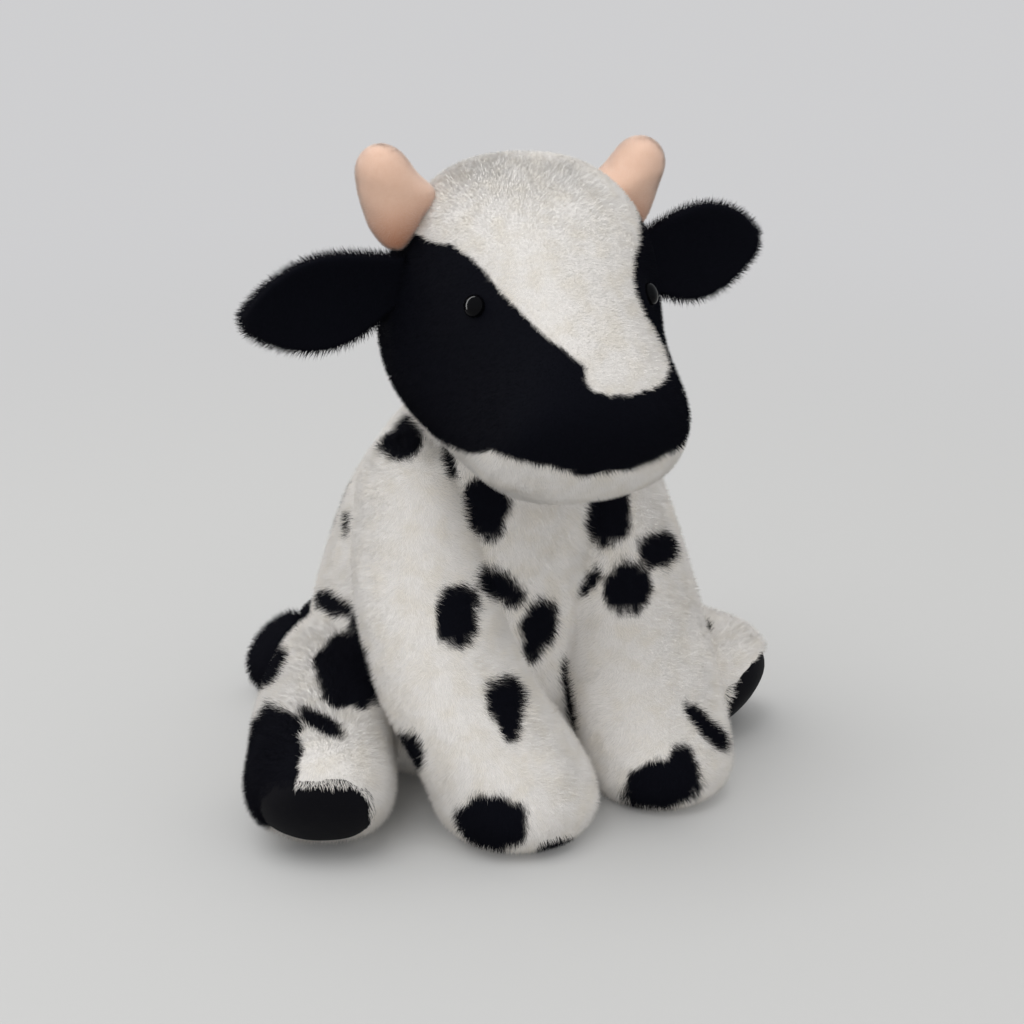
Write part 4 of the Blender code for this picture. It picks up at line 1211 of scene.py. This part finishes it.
def face_values(item, values):
    """The mean of point values over each face of an object's mesh."""
    return np.array([values[list(face.vertices)].mean() for face in item.data.polygons])


forms = [torso_tree, *leg_trees.values()]
spots = [seen_spot(forms, *row) for row in seen_spots] + [hidden_spot(forms, *row) for row in unseen_spots]
down = np.array((0.0, 0.0, -1.0))

points = points_of(torso_cloth)
shown = clear_of(points, [*leg_trees.values(), head_tree, tree_of(tail_cloth)], torso_buried_depth)
shown[points[:, 2] < torso_buried_depth] = 0.0
outward = points * (1.0, 1.0, 0.0) * torso_spread_heading
dress(torso_cloth, darkness(points, spots), shown, outward + down, body_pile_swirl)
seen_half = face_values(torso_cloth, points @ (np.array(camera_back) * (1.0, 1.0, 0.0))) > torso_half_edge
torso_pile = grow_pile(torso_cloth, "torso_pile", fur, spacing=0.00047, length=body_pile_length,
                       width=0.00032, seed=2, chosen=seen_half)
torso_back_pile = grow_pile(torso_cloth, "torso_back_pile", fur, spacing=0.00056, length=body_pile_length,
                            width=0.00037, seed=21, chosen=~seen_half)
for piece in (torso_cloth, torso_pile, torso_back_pile):
    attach(piece, "torso")
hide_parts("torso_skin")

for index, (name, cloth) in enumerate(legs.items()):
    side = sides[name.split("_")[0]]
    points = points_of(cloth)
    others = [torso_tree] + [tree for other, tree in leg_trees.items() if other != name]
    shown = clear_of(points, others, leg_buried_depth)
    centre, out, across, half_width, half_height = pad_places[name]
    flat = points - centre
    reach = np.abs(flat @ across / half_width) ** pad_squareness
    reach += np.abs(flat @ np.cross(out, across) / half_height) ** pad_squareness
    on_pad = (reach < pad_cover ** pad_squareness) & (np.abs(flat @ out) < pad_reach)
    shown[on_pad & (normals_of(cloth) @ out > 0.0)] = 0.0
    shown[points[:, 2] < leg_buried_depth] = 0.0
    shown *= np.interp(points[:, 2], (0.0, foot_pile_height), (foot_pile_share, 1.0))
    if "front" in name:
        heading = down
        start, end = ((side * shoulder_spread, *spot) for spot in shoulder_seam)
    else:
        first, last = hind_heading_rows
        heading = unit(hind_paths[name][last] - hind_paths[name][first])
        level = unit(heading * (1.0, 1.0, 0.0))
        hip = np.array((side * hip_seam_spread, 0.0, hip_seam_height))
        start, end = tuple(hip - level * hip_seam_start), tuple(hip + level * hip_seam_end)
        heading = heading + down * hind_heading_drop
    dress(cloth, darkness(points, spots), shown, heading, body_pile_swirl)
    pile = grow_pile(cloth, name + "_pile", fur, spacing=0.00045, length=body_pile_length, width=0.00031,
                     seed=3 + index)
    for piece in (cloth, pile):
        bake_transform(piece)
    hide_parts(name + "_skin", name + "_stuffing")

points = points_of(head_cloth)
shown = clear_of(points, [torso_tree, *(tree_of(horn) for horn in horn_cloths.values())], head_buried_depth)
for middle in eye_middles:
    from_eye = np.linalg.norm(points - middle, axis=1) - eye_radius - eye_clearing
    shown = np.minimum(shown, np.clip(from_eye / eye_clearing_edge, 0.0, 1.0))
headings = np.array([(place[0] * head_heading_spread, head_heading_back, head_heading_down)
                     for place in in_head(points)])
dark = head_darkness(points)
dress(head_cloth, dark, shown, headings, head_pile_swirl)
pale = face_values(head_cloth, dark) < 0.5
head_pile = grow_pile(head_cloth, "head_pile", fur, spacing=0.00054, length=head_pile_length,
                      width=0.00033, seed=8, chosen=~pale)
blaze_pile = grow_pile(head_cloth, "blaze_pile", fur, spacing=0.00041, length=head_pile_length,
                       width=0.00028, seed=81, chosen=pale)
for piece, fabric in ((head_cloth, "black_fur"), (head_pile, "black_fur"), (blaze_pile, "white_fur")):
    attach(piece, "head")
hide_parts("head_back", "nose_panel", "blaze", "chin", "right_cheek", "left_cheek")


# Stuffing, bean bag and washers
# Inside the skins are white polyester fibre, a cloth bag of beads in the seat and the washers of the eyes.
# They keep their plain solids and get the look of their materials.
inner_looks = (
    # ending of the pieces' names, colour, roughness, grain size, relief
    ("stuffing", (0.90, 0.90, 0.88, 1.0), 0.95, 160.0, 0.0012),
    ("bean_bag", (0.75, 0.72, 0.66, 1.0), 0.90, 900.0, 0.0003),
    ("washer", (0.80, 0.80, 0.80, 1.0), 0.50, 300.0, 0.0001),
)
for ending, colour, roughness, grain_size, relief_depth in inner_looks:
    look = new_finish(ending + "_look", Base_Color=colour, Roughness=roughness)
    add_relief(look, grain_size, relief_depth)
    for node_name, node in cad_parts.items():
        if node_name.endswith(ending):
            for material_slot in node.material_slots:
                material_slot.material = look


# Table, light and surroundings
# A wide pale table stands under one large studio lamp, hung high and a little to the cow's right.
# A strip lamp makes the glint in its eyes. All round is an even pale surround, which the table fades into.
table_half_size = 4.0
table_tone = (0.505, 0.505, 0.500, 1.0)
table_roughness = 0.9
table_shine = 0.1
backdrop_tone = (0.62, 0.62, 0.63, 1.0)
fade_start = 0.25
fade_end = 0.90
main_lamp_size = 1.1
main_lamp_power = 10.5
main_lamp_aim = Vector((0.0, 0.0, 0.12))
main_lamp_left = 0.35
main_lamp_near = 0.25
main_lamp_height = 1.40
strip_lamp_length = 1.5
strip_lamp_width = 0.15
strip_lamp_power = 14.0
strip_lamp_distance = 0.7
glint_offset = 0.56
surround_tone = (0.61, 0.64, 0.66, 1.0)
surround_light = 0.95
corners = [(x * table_half_size, y * table_half_size, 0.0) for x, y in ((-1, -1), (1, -1), (1, 1), (-1, 1))]
table_mesh = bpy.data.meshes.new("table_top")
table_mesh.from_pydata(corners, [], [(0, 1, 2, 3)])
table_top = link("table_top", table_mesh)
table_finish = new_finish("table_finish", Base_Color=table_tone, Roughness=table_roughness,
                          Specular_IOR_Level=table_shine)
tree = table_finish.node_tree
backdrop = add_node(tree, "ShaderNodeEmission", Color=backdrop_tone).outputs[0]
from_cow = add_node(tree, "ShaderNodeVectorMath", {"operation": "LENGTH"}, i0=object_place(tree))
far = add_node(tree, "ShaderNodeMapRange", {"interpolation_type": "SMOOTHSTEP"},
               Value=from_cow.outputs["Value"], From_Min=fade_start, From_Max=fade_end).outputs[0]
seen_ray = add_node(tree, "ShaderNodeLightPath").outputs["Is Camera Ray"]
near_look = tree.nodes["Principled BSDF"].outputs[0]
faded = add_node(tree, "ShaderNodeMixShader", i0=calculated(tree, "MULTIPLY", far, seen_ray), i1=near_look,
                 i2=backdrop)
tree.links.new(faded.outputs[0], tree.nodes["Material Output"].inputs["Surface"])
table_mesh.materials.append(table_finish)


def new_lamp(name, shape, length, width, power):
    """A soft flat lamp."""
    data = bpy.data.lights.new(name, "AREA")
    data.shape = shape
    data.size = length
    data.size_y = width
    data.energy = power
    return link(name, data)


main_lamp = new_lamp("main_lamp", "SQUARE", main_lamp_size, main_lamp_size, main_lamp_power)
main_lamp.location = (main_lamp_aim - camera_right * main_lamp_left + camera_back * main_lamp_near
                      + Vector((0.0, 0.0, main_lamp_height)))
main_lamp.rotation_mode = "QUATERNION"
main_lamp.rotation_quaternion = (main_lamp_aim - main_lamp.location).to_track_quat("-Z", "Y")
main_lamp.visible_glossy = False

# The strip lamp stands where the camera sees it mirrored in the upper left of the right eye.
glint = Vector(eye_middles[0]) + (camera_up * glint_offset - camera_right * glint_offset) * eye_radius
view = (glint - camera_eye).normalized()
glint, glint_normal = tree_of(eye_domes["right"]).ray_cast(camera_eye, view)[:2]
mirrored = view - 2.0 * view.dot(glint_normal) * glint_normal
lengthwise = (camera_up + camera_right).normalized()
lengthwise = (lengthwise - mirrored * lengthwise.dot(mirrored)).normalized()
strip_axes = Matrix((lengthwise, mirrored.cross(lengthwise), mirrored)).transposed().to_4x4()
strip_lamp = new_lamp("strip_lamp", "RECTANGLE", strip_lamp_length, strip_lamp_width, strip_lamp_power)
strip_lamp.matrix_world = Matrix.Translation(glint + mirrored * strip_lamp_distance) @ strip_axes
strip_lamp.visible_diffuse = False

surround = bpy.data.worlds.new("surround")
surround.use_nodes = True
tree = surround.node_tree
seen = add_node(tree, "ShaderNodeBackground", Color=surround_tone, Strength=1.0).outputs[0]
ambient = tree.nodes["Background"]
set_inputs(tree, ambient, Color=(1.0, 1.0, 1.0, 1.0), Strength=surround_light)
rays = add_node(tree, "ShaderNodeLightPath").outputs
clear_ray = rays["Is Camera Ray"]
for ray in ("Is Glossy Ray", "Is Transmission Ray"):
    clear_ray = calculated(tree, "MAXIMUM", clear_ray, rays[ray])
choice = add_node(tree, "ShaderNodeMixShader", i0=clear_ray, i1=ambient.outputs[0], i2=seen)
tree.links.new(choice.outputs[0], tree.nodes["World Output"].inputs["Surface"])
bpy.context.scene.world = surround
bpy.context.scene.view_settings.view_transform = "Standard"
